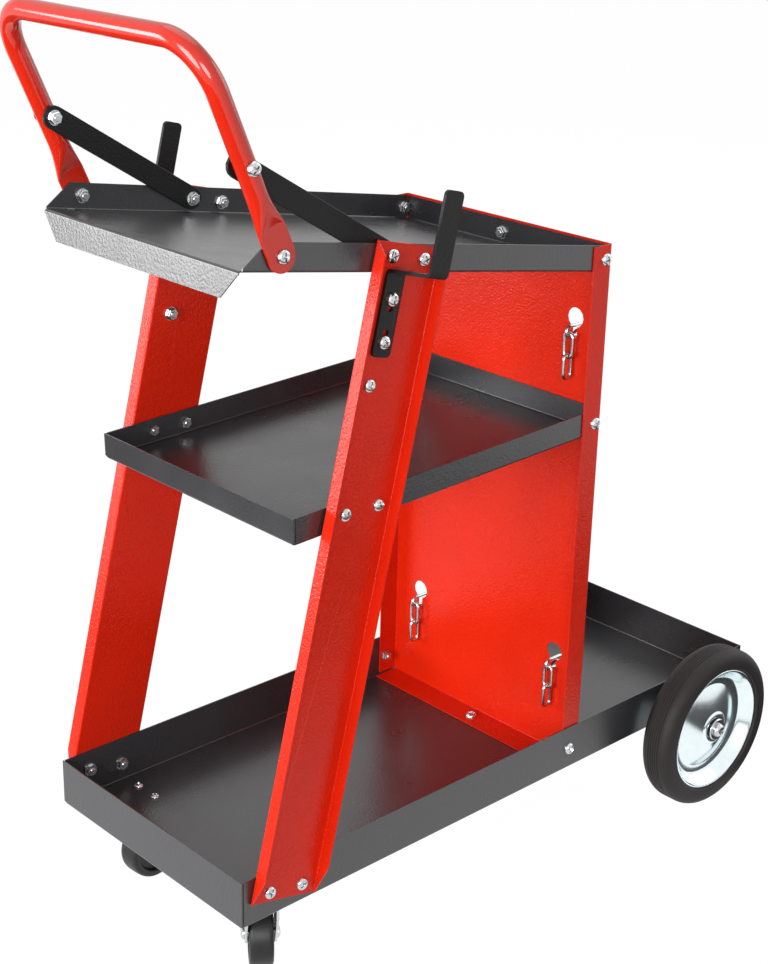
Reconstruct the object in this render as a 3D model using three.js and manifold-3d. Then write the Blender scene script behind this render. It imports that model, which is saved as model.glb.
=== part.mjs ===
// A welding cart: a long tray on two wheels and two casters, two shelves for a welder and its
// supplies, a back panel with chains for a gas cylinder, slanted legs, a push handle and torch hooks.
// Millimetres, +Z up. +X points to the rear wheels, -Y is the right side of whoever pushes the cart.
import * as THREE from "three";
import { mergeVertices } from "three/addons/utils/BufferGeometryUtils.js";
import Module from "manifold-3d";

const wasm = await Module();
wasm.setup();

// Fits
const GAP = 0.3; // between pieces that touch
const RUNNING_GAP = 0.3; // between a shaft and its hole

// Folded sheet
const SHEET = 1.2; // tray, shelves and back panel
const LEG_SHEET = 1.5;
const BEND_RADIUS = 2.4; // outside radius of every fold
const FOLD_LEAD = 1; // how far a fold runs into its flange

// Bottom tray
const TRAY_LENGTH = 715;
const TRAY_WIDTH = 278;
const TRAY_WALL = 47.5;

// Rear wheels and their axle
const WHEEL_DIAMETER = 178;
const TYRE_WIDTH = 37;
const TYRE_CLEARANCE = 10; // from the tray's side to the tyre
const TYRE_SHOULDER = 11; // radius of the rounded shoulder
const TREAD_GROOVES = 2;
const TREAD_GROOVE = 0.9; // depth of the grooves round the tread
const RIM_DIAMETER = 137;
const RIM_WIDTH = 33; // over the rim lips of the two discs
const DISC_SHEET = 1.5;
const DISC_WELL_DIAMETER = 106; // where the two discs meet
const HUB_FACE_DIAMETER = 34; // the flat boss round the bush
const HUB_LENGTH = 31;
const BUSH_DIAMETER = 20;
const AXLE_DIAMETER = 11;
const AXLE_SEAT = 0.5; // from the axle's top to the tray
const AXLE_SETBACK = 94.5; // from the tray's end to the axle
const COLLAR_DIAMETER = 21;
const COLLAR_LENGTH = 8;
const WASHER_DIAMETER = 24;
const WASHER_THICKNESS = 1.6;
const AXLE_SCREW_HEAD = 15;
const AXLE_SCREW_RISE = 5;
const AXLE_SCREW_CROWN = 9; // diameter of the head's flat top
const AXLE_SCREW_EDGE = 2.4; // height of the head's straight edge
const STRAP_SHEET = 2;
const STRAP_WIDTH = 25;
const STRAP_FOOT = 18;
const STRAP_INSET = 29; // from the tray's side to the middle of a strap

// Casters
const CASTER_WHEEL_DIAMETER = 63.5;
const CASTER_WHEEL_WIDTH = 23;
const CASTER_HUB_DIAMETER = 19.5;
const CASTER_DISH_DIAMETER = 48; // of the hollow in each side of the wheel
const CASTER_DISH_DEPTH = 4.6;
const CASTER_DRAFT = 1; // slope of the hollow's walls
const CASTER_TRAIL = 26; // from the swivel to the wheel's axle
const CASTER_SETBACK = 52; // from the tray's handle end to the swivel
const CASTER_INSET = 36; // from the tray's side to the swivel
const CASTER_PLATE_LENGTH = 60;
const CASTER_PLATE_WIDTH = 46;
const CASTER_PLATE_THICKNESS = 2.5;
const CASTER_BOLT_INSET = 9.5; // from the plate's edges to its bolts
const CASTER_RACE_DIAMETER = 38;
const CASTER_RACE_HEIGHT = 6;
const CASTER_FORK_SHEET = 2.5;
const CASTER_CROWN_DIAMETER = 42;
const CASTER_SIDE_CLEARANCE = 1.2; // from the wheel to each fork cheek
const CASTER_CHEEK_END = 10; // radius of the cheek round the axle
const CASTER_CHEEK_START = 215; // degrees where the cheek's round end starts
const CASTER_CHEEK_STOP = 385;
const CASTER_AXLE_DIAMETER = 8;
const CASTER_AXLE_HEAD = 13;
const CASTER_AXLE_RISE = 3;
const CASTER_AXLE_CROWN = 8; // diameter of the rivet head's flat top
const KINGPIN_DIAMETER = 10;
const KINGPIN_HEAD = 18;
const KINGPIN_RISE = 3;
const RIGHT_CASTER_TURN = 54; // degrees from +X to the way the wheel trails
const LEFT_CASTER_TURN = 4;

// Back panel
const PANEL_SETBACK = 271.3; // from the tray's wheel end to the panel's rear face
const PANEL_HEIGHT = 547;
const PANEL_FLANGE = 25;
const PANEL_FOOT = 31;
const KEYHOLE_INSET = 38.5; // from the panel's side to the keyhole
const KEYHOLE_DIAMETER = 20;
const KEYHOLE_SLOT = 6;
const KEYHOLE_DROP = 20; // from the round hole's centre to the slot's bottom
const UPPER_KEYHOLE_BELOW = 79.3; // from the panel's top edge
const LOWER_KEYHOLE_RISE = 112; // from the panel's foot

// Shelves
const TOP_SHELF_REACH = 437; // from the panel to the front edge
const TOP_SHELF_BELOW = 27; // from the panel's top edge to the shelf's underside
const TOP_SHELF_TILT = 9.05; // degrees, the front higher
const TOP_SHELF_WALL = 24.5;
const LIP_LENGTH = 25;
const LIP_FOLD = 93; // degrees that the front lip is folded down
const LIP_MITRE = 20; // taken off each end of the lip
const MIDDLE_SHELF_REACH = 382;
const MIDDLE_SHELF_BELOW = 185.7;
const MIDDLE_SHELF_TILT = -2.1;
const MIDDLE_SHELF_WALL = 24.5;

// Legs
const LEG_WIDTH = 76;
const LEG_FLANGE = 13.5;
const LEG_FOOT_TAPER = 27; // how far up the flanges run out at the foot
const LEG_FOOT_INSET = 8.9; // from the tray's end to the leg's front corner
const LEG_FOOT_RISE = 22.5; // above the tray's underside
const LEG_HEAD_SETBACK = 138; // along the top shelf from its front edge
const LEG_HEAD_RISE = 27.4; // above the top shelf's underside
const LEG_BOLT_INSET = 20; // from the leg's front corner to its bolts
const LEG_BOLT_DROP = 11.5; // from the leg's top end to its top bolts

// Handle and its braces
const TUBE_DIAMETER = 18;
const TUBE_WALL = 1.2;
const TUBE_STANDOUT = 8; // the tube's outer side from the top shelf's side
const TONGUE_WIDTH = 27;
const TONGUE_THICKNESS = 3.2;
const TONGUE_SQUARENESS = 0.4; // 1 is an ellipse, 0 a rectangle
const TONGUE_LENGTH = 27; // flat from the bolt up
const TONGUE_RUN = 30; // from flat to round
const HANDLE_BOLT_SETBACK = 37.9; // along the top shelf from its front edge
const HANDLE_BOLT_HEIGHT = 13.4; // above the top shelf's underside
const HANDLE_LEAN = 24.1; // degrees from upright
const HANDLE_REACH = 184; // from the bolt to the middle of the crossbar
const HANDLE_BEND = 42; // radius at the middle of the tube
const BRACE_BOLT_REACH = 79.8; // from the handle's bolt to the brace's upper bolt
const BAR_WIDTH = 20.5; // flat bar of the braces and the hooks
const BAR_THICKNESS = 3;
const BAR_CORNER = 4.5; // radius of a hook's rounded corners

// Torch hooks
const HOOK_INSET = 26; // from the leg's front corner to the bar's middle
const HOOK_DROP = 23.5; // from the leg's top end to the top of the hook's plate
const HOOK_PLATE = 72.5;
const HOOK_ARM = 48; // between the middles of the two bends
const HOOK_SLOPE = 5; // degrees that the arm rises
const HOOK_UPRIGHT = 70.5;
const HOOK_BEND = 6; // outside radius
const HOOK_SLOT = 14;
const HOOK_UPPER_BOLT = 23.3; // from the plate's top to its upper bolt
const HOOK_LOWER_BOLT = 13; // from the plate's lower end to its lower bolt

// Bolts
const BOLT_DIAMETER = 6;
const BOLT_HEAD = 12.5;
const BOLT_HEAD_RISE = 3.8;
const BOLT_HEAD_CROWN = 8; // diameter of the head's flat top
const BOLT_HEAD_EDGE = 1; // height of the head's straight edge
const BOLT_TAIL = 6; // past the last sheet, for the nut

// Chains
const LINK_LENGTH = 28;
const LINK_WIDTH = 14;
const LINK_WIRE = 3.5;
const CHAIN_SLACK_RATIO = 1.2; // the span's length over the distance between its keyholes, at least
const LINK_BITE = 0.4; // how far links of one span press into each other
const LINK_REST = 0.4; // between a hanging link and the one that carries it

// Facets
const FOLD_STEPS = 3;
const HOLE_STEPS = 12;
const WHEEL_STEPS = 26;
const SMALL_STEPS = 14;
const BOLT_STEPS = 8;
const TUBE_SIDES = 12;
const ELBOW_STEPS = 6;
const END_STEPS = 4; // round a bar's end, from its tip to its side
const LINK_SIDES = 5; // odd, so that a flat faces into the link
const LINK_ARC_STEPS = 3; // odd, so that links meet flat on flat
const CATENARY_ROUNDS = 60;

const X = new THREE.Vector3(1, 0, 0);
const Y = new THREE.Vector3(0, 1, 0);
const Z = new THREE.Vector3(0, 0, 1);
const radians = THREE.MathUtils.degToRad;

// Finishes
const finish = (color, roughness, metalness) => new THREE.MeshStandardMaterial({ color, roughness, metalness });
const redPaint = finish(0xc4301c, 0.4, 0);
const charcoalPaint = finish(0x57565b, 0.5, 0.1);
const blackPaint = finish(0x1b1b1d, 0.45, 0.1);
const zinc = finish(0xc3c9cf, 0.3, 0.9);
const rubber = finish(0x2b2927, 0.8, 0);
const plastic = finish(0x1d1d1e, 0.55, 0);

// Solids: closed geometry, joined and cut
function solid(geometry) {
  const bare = geometry.clone();
  bare.deleteAttribute("normal");
  bare.deleteAttribute("uv");
  const merged = mergeVertices(bare, 1e-4);
  return new wasm.Manifold(
    new wasm.Mesh({
      numProp: 3,
      vertProperties: merged.attributes.position.array,
      triVerts: new Uint32Array(merged.index.array),
    }),
  );
}

function geometryOf(manifold) {
  const { vertProperties, triVerts } = manifold.getMesh();
  const geometry = new THREE.BufferGeometry();
  geometry.setAttribute("position", new THREE.BufferAttribute(vertProperties, 3));
  geometry.setIndex(new THREE.BufferAttribute(triVerts, 1));
  geometry.computeVertexNormals();
  return geometry;
}

const join = (...geometries) => geometryOf(geometries.map(solid).reduce((whole, next) => whole.add(next)));
const cut = (base, ...tools) =>
  geometryOf(tools.map(solid).reduce((whole, tool) => whole.subtract(tool), solid(base)));

function piece(name, geometry, material, parent) {
  const mesh = new THREE.Mesh(geometry, material);
  mesh.name = name;
  parent.add(mesh);
  return mesh;
}

function box(low, high) {
  const size = new THREE.Vector3().subVectors(high, low);
  const middle = new THREE.Vector3().addVectors(low, high).multiplyScalar(0.5);
  return new THREE.BoxGeometry(size.x, size.y, size.z).translate(middle.x, middle.y, middle.z);
}

const vec = (x, y, z) => new THREE.Vector3(x, y, z);

// A round bar between two points.
function bar(from, to, diameter, steps = HOLE_STEPS) {
  const along = new THREE.Vector3().subVectors(to, from);
  const turn = new THREE.Quaternion().setFromUnitVectors(Y, along.clone().normalize());
  const middle = new THREE.Vector3().addVectors(from, to).multiplyScalar(0.5);
  const geometry = new THREE.CylinderGeometry(diameter / 2, diameter / 2, along.length(), steps);
  return geometry.applyQuaternion(turn).translate(middle.x, middle.y, middle.z);
}

// A flat outline, thickened along the third axis of a basis.
function slab(points, thickness, across, up, origin) {
  const shape = new THREE.Shape(points.map(([u, v]) => new THREE.Vector2(u, v)));
  return placed(extruded(shape, thickness), across, up, origin);
}

function extruded(shape, depth) {
  return new THREE.ExtrudeGeometry(shape, { depth, bevelEnabled: false, curveSegments: FOLD_STEPS });
}

function placed(geometry, across, up, origin) {
  const out = new THREE.Vector3().crossVectors(across, up);
  return geometry.applyMatrix4(new THREE.Matrix4().makeBasis(across, up, out).setPosition(origin));
}

// A skin through rings of points, closed by flat ends, or joined round into a loop.
function loft(rings, looped = false) {
  const sides = rings[0].length;
  const positions = rings.flat().flatMap((point) => [point.x, point.y, point.z]);
  const index = [];
  const spans = looped ? rings.length : rings.length - 1;
  for (let ring = 0; ring < spans; ring++) {
    const next = (ring + 1) % rings.length;
    for (let side = 0; side < sides; side++) {
      const beside = (side + 1) % sides;
      const [a, b] = [ring * sides + side, ring * sides + beside];
      const [c, d] = [next * sides + beside, next * sides + side];
      index.push(a, b, c, a, c, d);
    }
  }
  const last = (rings.length - 1) * sides;
  for (let side = 1; !looped && side < sides - 1; side++) {
    index.push(0, side + 1, side);
    index.push(last, last + side, last + side + 1);
  }
  const geometry = new THREE.BufferGeometry();
  geometry.setAttribute("position", new THREE.Float32BufferAttribute(positions, 3));
  geometry.setIndex(index);
  return geometry;
}

// A round solid about the Y axis from [radius, height] corners, with a flat facing -Z.
// The facets' flats, not their corners, keep the stated radii.
function turned(corners, steps) {
  const grow = 1 / Math.cos(Math.PI / steps);
  const points = corners.map(([radius, height]) => new THREE.Vector2(radius * grow, height));
  points.push(points[0].clone());
  return new THREE.LatheGeometry(points, steps).rotateY(Math.PI / steps);
}

// Folded sheet: a flange that rises from an edge of a sheet that lies on the plane of `outward` and
// the edge. `at` is the edge's middle where the fold begins, on the sheet's outer face.
function flange({ at, outward, up, angle = Math.PI / 2, fold, outline, sheet = SHEET }) {
  const along = new THREE.Vector3().crossVectors(outward, up);
  const strip = BEND_RADIUS;
  const inner = BEND_RADIUS - sheet;
  const run = vec(Math.cos(angle), Math.sin(angle), 0);
  const end = vec(BEND_RADIUS * run.y, BEND_RADIUS * (1 - run.x), 0);
  const shape = new THREE.Shape();
  shape.moveTo(-strip, 0);
  shape.lineTo(0, 0);
  shape.absarc(0, BEND_RADIUS, BEND_RADIUS, -Math.PI / 2, angle - Math.PI / 2, false);
  shape.lineTo(end.x + FOLD_LEAD * run.x, end.y + FOLD_LEAD * run.y);
  shape.lineTo(end.x + FOLD_LEAD * run.x - sheet * run.y, end.y + FOLD_LEAD * run.y + sheet * run.x);
  shape.absarc(0, BEND_RADIUS, inner, angle - Math.PI / 2, -Math.PI / 2, true);
  shape.lineTo(-strip, sheet);
  const bend = placed(extruded(shape, fold).translate(0, 0, -fold / 2), outward, up, at);
  const direction = outward.clone().multiplyScalar(run.x).addScaledVector(up, run.y);
  const foot = at.clone().addScaledVector(outward, end.x).addScaledVector(up, end.y);
  return [bend, slab(outline, sheet, along, direction, foot)];
}

const upright = (length, height) => [
  [-length / 2, 0],
  [length / 2, 0],
  [length / 2, height - BEND_RADIUS],
  [-length / 2, height - BEND_RADIUS],
];

// A tray folded from one sheet. Its floor's underside is the plane z = 0, its front is at x = 0.
// The end walls close over the side walls, with an open seam at each corner. The side walls' upper front
// corners are set back by `sideRunOut`, and their back edges follow the back wall.
function pan({ length, width, wall, backWidth = width, backAngle = Math.PI / 2, sideRunOut = 0, front }) {
  const floorLength = length - 2 * BEND_RADIUS;
  const floorWidth = width - 2 * BEND_RADIUS;
  const middle = length / 2;
  const floor = box(
    vec(BEND_RADIUS, -floorWidth / 2, 0),
    vec(length - BEND_RADIUS, floorWidth / 2, SHEET),
  );
  const side = (sign) => {
    const outline = upright(floorLength, wall);
    const [backTop, frontTop] = sign > 0 ? [outline[2], outline[3]] : [outline[3], outline[2]];
    backTop[0] -= sign * (wall - BEND_RADIUS) * Math.tan(backAngle - Math.PI / 2);
    frontTop[0] += sign * sideRunOut;
    return flange({
      at: vec(middle, (sign * floorWidth) / 2, 0),
      outward: vec(0, sign, 0),
      up: Z,
      fold: floorLength,
      outline,
    });
  };
  const back = flange({
    at: vec(length - BEND_RADIUS, 0, 0),
    outward: X,
    up: Z,
    angle: backAngle,
    fold: floorWidth,
    outline: upright(backWidth, wall),
  });
  const frontWall = {
    at: vec(BEND_RADIUS, 0, 0),
    outward: vec(-1, 0, 0),
    up: Z,
    fold: floorWidth,
    outline: upright(width, wall),
  };
  return join(floor, ...side(1), ...side(-1), ...back, ...flange(front ?? frontWall));
}

const trayUnderside = WHEEL_DIAMETER / 2 + AXLE_DIAMETER / 2 + AXLE_SEAT;
const trayFront = -TRAY_LENGTH / 2;
const trayBack = TRAY_LENGTH / 2;
const panelRear = trayBack - PANEL_SETBACK;
const panelFront = panelRear - SHEET;
const panelFootHeight = trayUnderside + SHEET + GAP;
const panelTop = panelFootHeight + PANEL_HEIGHT;
const panelWidth = TRAY_WIDTH - 2 * (SHEET + GAP);
const shelfWidth = panelWidth - 2 * (SHEET + GAP);
const shelfBackWidth = shelfWidth - 2 * (SHEET + GAP); // clear of the panel's folds

// A shelf's place: its front lower edge, its fall towards the panel and its floor's length.
function shelfPlace(reach, below, tiltDegrees) {
  const tilt = radians(tiltDegrees);
  const front = vec(panelFront - reach, 0, panelTop - below + reach * Math.tan(tilt));
  const wallPlane = reach - GAP;
  const floor = (wallPlane - BEND_RADIUS * (1 + Math.sin(tilt))) / Math.cos(tilt);
  const along = vec(Math.cos(tilt), 0, -Math.sin(tilt));
  const up = vec(Math.sin(tilt), 0, Math.cos(tilt));
  const at = (u, h) => front.clone().addScaledVector(along, u).addScaledVector(up, h);
  return { tilt, front, length: floor + BEND_RADIUS, at, up };
}

const topShelf = shelfPlace(TOP_SHELF_REACH, TOP_SHELF_BELOW, TOP_SHELF_TILT);
const middleShelf = shelfPlace(MIDDLE_SHELF_REACH, MIDDLE_SHELF_BELOW, MIDDLE_SHELF_TILT);

// A leg's own frame: u runs up the leg, v back from its front corner, w out from the web's inner face.
const legFoot = vec(trayFront + LEG_FOOT_INSET, -TRAY_WIDTH / 2 - GAP, trayUnderside + LEG_FOOT_RISE);
const legHead = topShelf.at(LEG_HEAD_SETBACK, LEG_HEAD_RISE).setY(-shelfWidth / 2 - GAP);
const legLength = legHead.distanceTo(legFoot);
const legUp = new THREE.Vector3().subVectors(legHead, legFoot).normalize();
const legBack = new THREE.Vector3().crossVectors(Y, legUp).normalize();
const legOut = new THREE.Vector3().crossVectors(legBack, legUp);
const legPoint = (u, v, w) =>
  legFoot.clone().addScaledVector(legUp, u).addScaledVector(legBack, v).addScaledVector(legOut, w);

// The handle's own frame: along its lean from the right bolt.
const handleBolt = topShelf.at(HANDLE_BOLT_SETBACK, HANDLE_BOLT_HEIGHT);
const handleUp = vec(-Math.sin(radians(HANDLE_LEAN)), 0, Math.cos(radians(HANDLE_LEAN)));
const handleFace = new THREE.Vector3().crossVectors(Y, handleUp);
const tongueFace = shelfWidth / 2 + GAP;
const tubeMiddle = tongueFace + TUBE_STANDOUT - TUBE_DIAMETER / 2;
const legBolt = legPoint(legLength - LEG_BOLT_DROP, LEG_BOLT_INSET, 0);
const braceBolt = handleBolt.clone().addScaledVector(handleUp, BRACE_BOLT_REACH);
const BOLT_HOLE = BOLT_DIAMETER + 2 * GAP;
const holeAlongY = (point, from, to) => bar(vec(point.x, from, point.z), vec(point.x, to, point.z), BOLT_HOLE);

const cart = new THREE.Group();
const crossbarFront = handleBolt.x + handleUp.x * HANDLE_REACH - TUBE_DIAMETER / 2;
const foremost = Math.min(crossbarFront, trayFront);
cart.position.x = -(foremost + trayBack) / 2;

// The bolts that hang the axle straps and the casters under the tray, and their holes near its floor.
const axleX = trayBack - AXLE_SETBACK;
const axleZ = WHEEL_DIAMETER / 2;
const strapY = TRAY_WIDTH / 2 - STRAP_INSET;
const strapBoltReach = AXLE_DIAMETER / 2 + GAP + STRAP_SHEET + STRAP_FOOT / 2;
const strapBolts = [axleX - strapBoltReach, axleX + strapBoltReach];
const casterX = trayFront + CASTER_SETBACK;
const casterY = TRAY_WIDTH / 2 - CASTER_INSET;
const casterBoltX = CASTER_PLATE_LENGTH / 2 - CASTER_BOLT_INSET;
const casterBoltY = CASTER_PLATE_WIDTH / 2 - CASTER_BOLT_INSET;
const casterBolts = [-1, 1].flatMap((end) => [-1, 1].map((edge) => [end * casterBoltX, edge * casterBoltY]));
const holeAlongZ = (x, y) =>
  bar(vec(x, y, trayUnderside - BOLT_HOLE), vec(x, y, trayUnderside + BOLT_HOLE), BOLT_HOLE, BOLT_STEPS);

function bottomTray() {
  const shell = pan({ length: TRAY_LENGTH, width: TRAY_WIDTH, wall: TRAY_WALL });
  const holes = [-1, 1].flatMap((side) => [
    ...strapBolts.map((x) => holeAlongZ(x, side * strapY)),
    ...casterBolts.map(([x, y]) => holeAlongZ(casterX + x, side * casterY + y)),
  ]);
  const tray = shell.translate(trayFront, 0, trayUnderside);
  piece("bottom_tray", cut(tray, ...holes), charcoalPaint, cart);
}

function middleShelfPiece() {
  const shell = pan({
    length: middleShelf.length,
    width: shelfWidth,
    wall: MIDDLE_SHELF_WALL,
    backWidth: shelfBackWidth,
    backAngle: Math.PI / 2 + middleShelf.tilt,
  });
  const mesh = piece("middle_shelf", shell, charcoalPaint, cart);
  mesh.position.copy(middleShelf.front);
  mesh.rotation.y = middleShelf.tilt;
}

// The top shelf has no front wall: its side walls run out at 45 degrees and a lip is folded down.
function topShelfPiece() {
  const lipWidth = shelfWidth - 2 * BEND_RADIUS;
  const lip = {
    at: vec(BEND_RADIUS, 0, SHEET),
    outward: vec(-1, 0, 0),
    up: vec(0, 0, -1),
    angle: radians(LIP_FOLD),
    fold: lipWidth,
    outline: [
      [-lipWidth / 2, 0],
      [lipWidth / 2, 0],
      [lipWidth / 2 - LIP_MITRE, LIP_LENGTH - BEND_RADIUS],
      [LIP_MITRE - lipWidth / 2, LIP_LENGTH - BEND_RADIUS],
    ],
  };
  const shell = pan({
    length: topShelf.length,
    width: shelfWidth,
    wall: TOP_SHELF_WALL,
    backWidth: shelfBackWidth,
    backAngle: Math.PI / 2 + topShelf.tilt,
    sideRunOut: TOP_SHELF_WALL - BEND_RADIUS,
    front: lip,
  });
  const holes = [-1, 1].flatMap((side) =>
    [handleBolt, legBolt].map((bolt) => {
      const local = bolt.clone().setY(0).sub(topShelf.front).applyAxisAngle(Y, -topShelf.tilt);
      return holeAlongY(local, (side * shelfWidth) / 4, side * shelfWidth);
    }),
  );
  const mesh = piece("top_shelf", cut(shell, ...holes), charcoalPaint, cart);
  mesh.position.copy(topShelf.front);
  mesh.rotation.y = topShelf.tilt;
}

const keyholeY = panelWidth / 2 - KEYHOLE_INSET;
const keyholes = [panelTop - UPPER_KEYHOLE_BELOW, panelFootHeight + LOWER_KEYHOLE_RISE];

// The back panel: an upright sheet, with side flanges and a foot folded towards the handle.
function backPanel() {
  const forward = vec(-1, 0, 0);
  const flat = panelWidth - 2 * BEND_RADIUS;
  const foldHeight = PANEL_HEIGHT - BEND_RADIUS;
  const middle = panelFootHeight + BEND_RADIUS + foldHeight / 2;
  const sheet = box(
    vec(panelFront, -flat / 2, panelFootHeight + BEND_RADIUS),
    vec(panelRear, flat / 2, panelTop),
  );
  const sides = [-1, 1].flatMap((sign) =>
    flange({
      at: vec(panelRear, (sign * flat) / 2, middle),
      outward: vec(0, sign, 0),
      up: forward,
      fold: foldHeight,
      outline: upright(foldHeight, PANEL_FLANGE),
    }),
  );
  const foot = flange({
    at: vec(panelRear, 0, panelFootHeight + BEND_RADIUS),
    outward: vec(0, 0, -1),
    up: forward,
    fold: flat,
    outline: upright(flat, PANEL_FOOT),
  });
  const through = [panelFront - SHEET, panelRear + SHEET];
  const openings = keyholes.flatMap((height) =>
    [-1, 1].flatMap((side) => {
      const y = side * keyholeY;
      const slotFoot = height - KEYHOLE_DROP + KEYHOLE_SLOT / 2;
      const half = KEYHOLE_SLOT / 2;
      return [
        bar(vec(through[0], y, height), vec(through[1], y, height), KEYHOLE_DIAMETER),
        bar(vec(through[0], y, slotFoot), vec(through[1], y, slotFoot), KEYHOLE_SLOT),
        box(vec(through[0], y - half, slotFoot), vec(through[1], y + half, height)),
      ];
    }),
  );
  piece("back_panel", cut(join(sheet, ...sides, ...foot), ...openings), redPaint, cart);
}

// A leg is a channel: its web lies on the outside of the tray and the top shelf. Its flanges run out at
// 45 degrees at the head and over a longer taper at the foot.
function leg(name, parent) {
  const flat = LEG_WIDTH - 2 * BEND_RADIUS;
  const outline = [
    [0, 0],
    [flat, 0],
    [flat, legLength],
    [0, legLength],
  ];
  const web = slab(outline, LEG_SHEET, legBack, legUp, legPoint(0, BEND_RADIUS, 0));
  const height = LEG_FLANGE - BEND_RADIUS;
  const edge = (v, outward) => {
    const headward = Math.sign(outward.clone().cross(legOut).dot(legUp));
    const head = (headward * legLength) / 2;
    return flange({
      at: legPoint(legLength / 2, v, 0),
      outward,
      up: legOut,
      fold: legLength,
      outline: [
        [-head, 0],
        [head, 0],
        [head - headward * height, height],
        [headward * LEG_FOOT_TAPER - head, height],
      ],
      sheet: LEG_SHEET,
    });
  };
  const front = edge(BEND_RADIUS, legBack.clone().negate());
  const back = edge(LEG_WIDTH - BEND_RADIUS, legBack);
  const hole = holeAlongY(legBolt, -TRAY_WIDTH, 0);
  piece(name, cut(join(web, ...front, ...back), hole), redPaint, parent);
}

// A push handle bent from one tube, its ends pressed flat into tongues that bolt to the top shelf.
function handleTube() {
  const smooth = (t) => t * t * (3 - 2 * t);
  const round = TUBE_DIAMETER / 2;
  const tongue = { width: TONGUE_WIDTH / 2, depth: TONGUE_THICKNESS / 2, square: TONGUE_SQUARENESS };
  const tongueMiddle = tongueFace + tongue.depth;
  // The section at a distance from the bolt: half sizes across and through, how square it is, and how far
  // its middle lies from the cart's.
  const section = (reach) => {
    const t = smooth(THREE.MathUtils.clamp((reach - TONGUE_LENGTH) / TONGUE_RUN, 0, 1));
    const mix = (flat, full) => flat + (full - flat) * t;
    return {
      width: mix(tongue.width, round),
      depth: mix(tongue.depth, round),
      square: mix(tongue.square, 1),
      middle: mix(tongueMiddle, tubeMiddle),
    };
  };
  const ring = (centre, through, size) =>
    Array.from({ length: TUBE_SIDES }, (_, step) => {
      const turn = ((step + 0.5) * 2 * Math.PI) / TUBE_SIDES;
      const bulge = (value) => Math.sign(value) * Math.abs(value) ** size.square;
      return centre
        .clone()
        .addScaledVector(handleFace, size.width * bulge(Math.cos(turn)))
        .addScaledVector(through, size.depth * bulge(Math.sin(turn)));
    });
  const inset = (size, wall) => ({ ...size, width: size.width - wall, depth: size.depth - wall });
  const at = (reach, y) => handleBolt.clone().setY(y).addScaledVector(handleUp, reach);
  const straight = HANDLE_REACH - HANDLE_BEND;
  const barHalf = tubeMiddle - HANDLE_BEND;
  const runSteps = [0, 0.3, 0.6, 1].map((t) => TONGUE_LENGTH + t * TONGUE_RUN);
  const roundEnd = [1, 0.85, 0.5, 0].map((share) => share * tongue.width);
  // The stations of one half, from the tongue's end to the start of the crossbar.
  const half = (wall) => {
    const stations = [];
    const add = (reach, size) => {
      const centre = at(reach, -section(reach).middle);
      stations.push({ centre, through: Y, size: inset(size, wall) });
    };
    if (wall > 0) add(-TONGUE_WIDTH, tongue);
    else
      for (const back of roundEnd) {
        const width = Math.max(Math.sqrt(tongue.width ** 2 - back ** 2), TONGUE_THICKNESS);
        add(-back, { ...tongue, width });
      }
    for (const reach of runSteps) add(reach, section(reach));
    for (let step = 0; step <= ELBOW_STEPS; step++) {
      const turn = (step / ELBOW_STEPS) * (Math.PI / 2);
      const rise = straight + HANDLE_BEND * Math.sin(turn);
      const centre = at(rise, -barHalf - HANDLE_BEND * Math.cos(turn));
      const through = Y.clone().multiplyScalar(Math.cos(turn)).addScaledVector(handleUp, -Math.sin(turn));
      stations.push({ centre, through, size: inset(section(HANDLE_REACH), wall) });
    }
    return stations;
  };
  const mirrored = (point) => point.clone().setY(-point.y);
  const whole = (wall) => {
    const right = half(wall);
    const left = right.map(({ centre, through, size }) => {
      return { centre: mirrored(centre), through: mirrored(through), size };
    });
    const stations = [...right, ...left.reverse()];
    return loft(stations.map(({ centre, through, size }) => ring(centre, through, size)));
  };
  const holes = [-1, 1].flatMap((side) =>
    [handleBolt, braceBolt].map((bolt) => holeAlongY(bolt, side * (tubeMiddle - TUBE_DIAMETER), side * TRAY_WIDTH)),
  );
  piece("handle_tube", cut(whole(0), whole(TUBE_WALL), ...holes), redPaint, cart);
}

// A flat bar with round ends from the handle's inner side to the inside of the top shelf. Its ends lie flat
// against both, and it slants between them.
const braceLowFace = shelfWidth / 2 - SHEET - GAP;
const braceHighFace = tubeMiddle - TUBE_DIAMETER / 2 - GAP;
function handleBrace(name, parent) {
  const low = legBolt.clone().setY(0);
  const along = braceBolt.clone().setY(0).sub(low);
  const length = along.length();
  along.normalize();
  const sideways = new THREE.Vector3().crossVectors(along, Y);
  const half = BAR_WIDTH / 2;
  const roundEnd = Array.from({ length: END_STEPS }, (_, step) => {
    const turn = (((step + 1) / END_STEPS) * Math.PI) / 2;
    return { back: half * Math.cos(turn), width: half * Math.sin(turn) };
  });
  const stations = [
    ...roundEnd.map(({ back, width }) => ({ reach: -back, width, face: braceLowFace })),
    { reach: half, width: half, face: braceLowFace },
    { reach: length - half, width: half, face: braceHighFace },
    ...roundEnd.reverse().map(({ back, width }) => ({ reach: length + back, width, face: braceHighFace })),
  ];
  const rings = stations.map(({ reach, width, face }) => {
    const corner = (across, y) => low.clone().addScaledVector(along, reach).addScaledVector(sideways, across).setY(y);
    const [outside, inside] = [-face, BAR_THICKNESS - face];
    return [corner(width, inside), corner(width, outside), corner(-width, outside), corner(-width, inside)];
  });
  const holes = [legBolt, braceBolt].map((bolt) => holeAlongY(bolt, -TRAY_WIDTH, 0));
  piece(name, cut(loft(rings), ...holes), blackPaint, parent);
}

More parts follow.
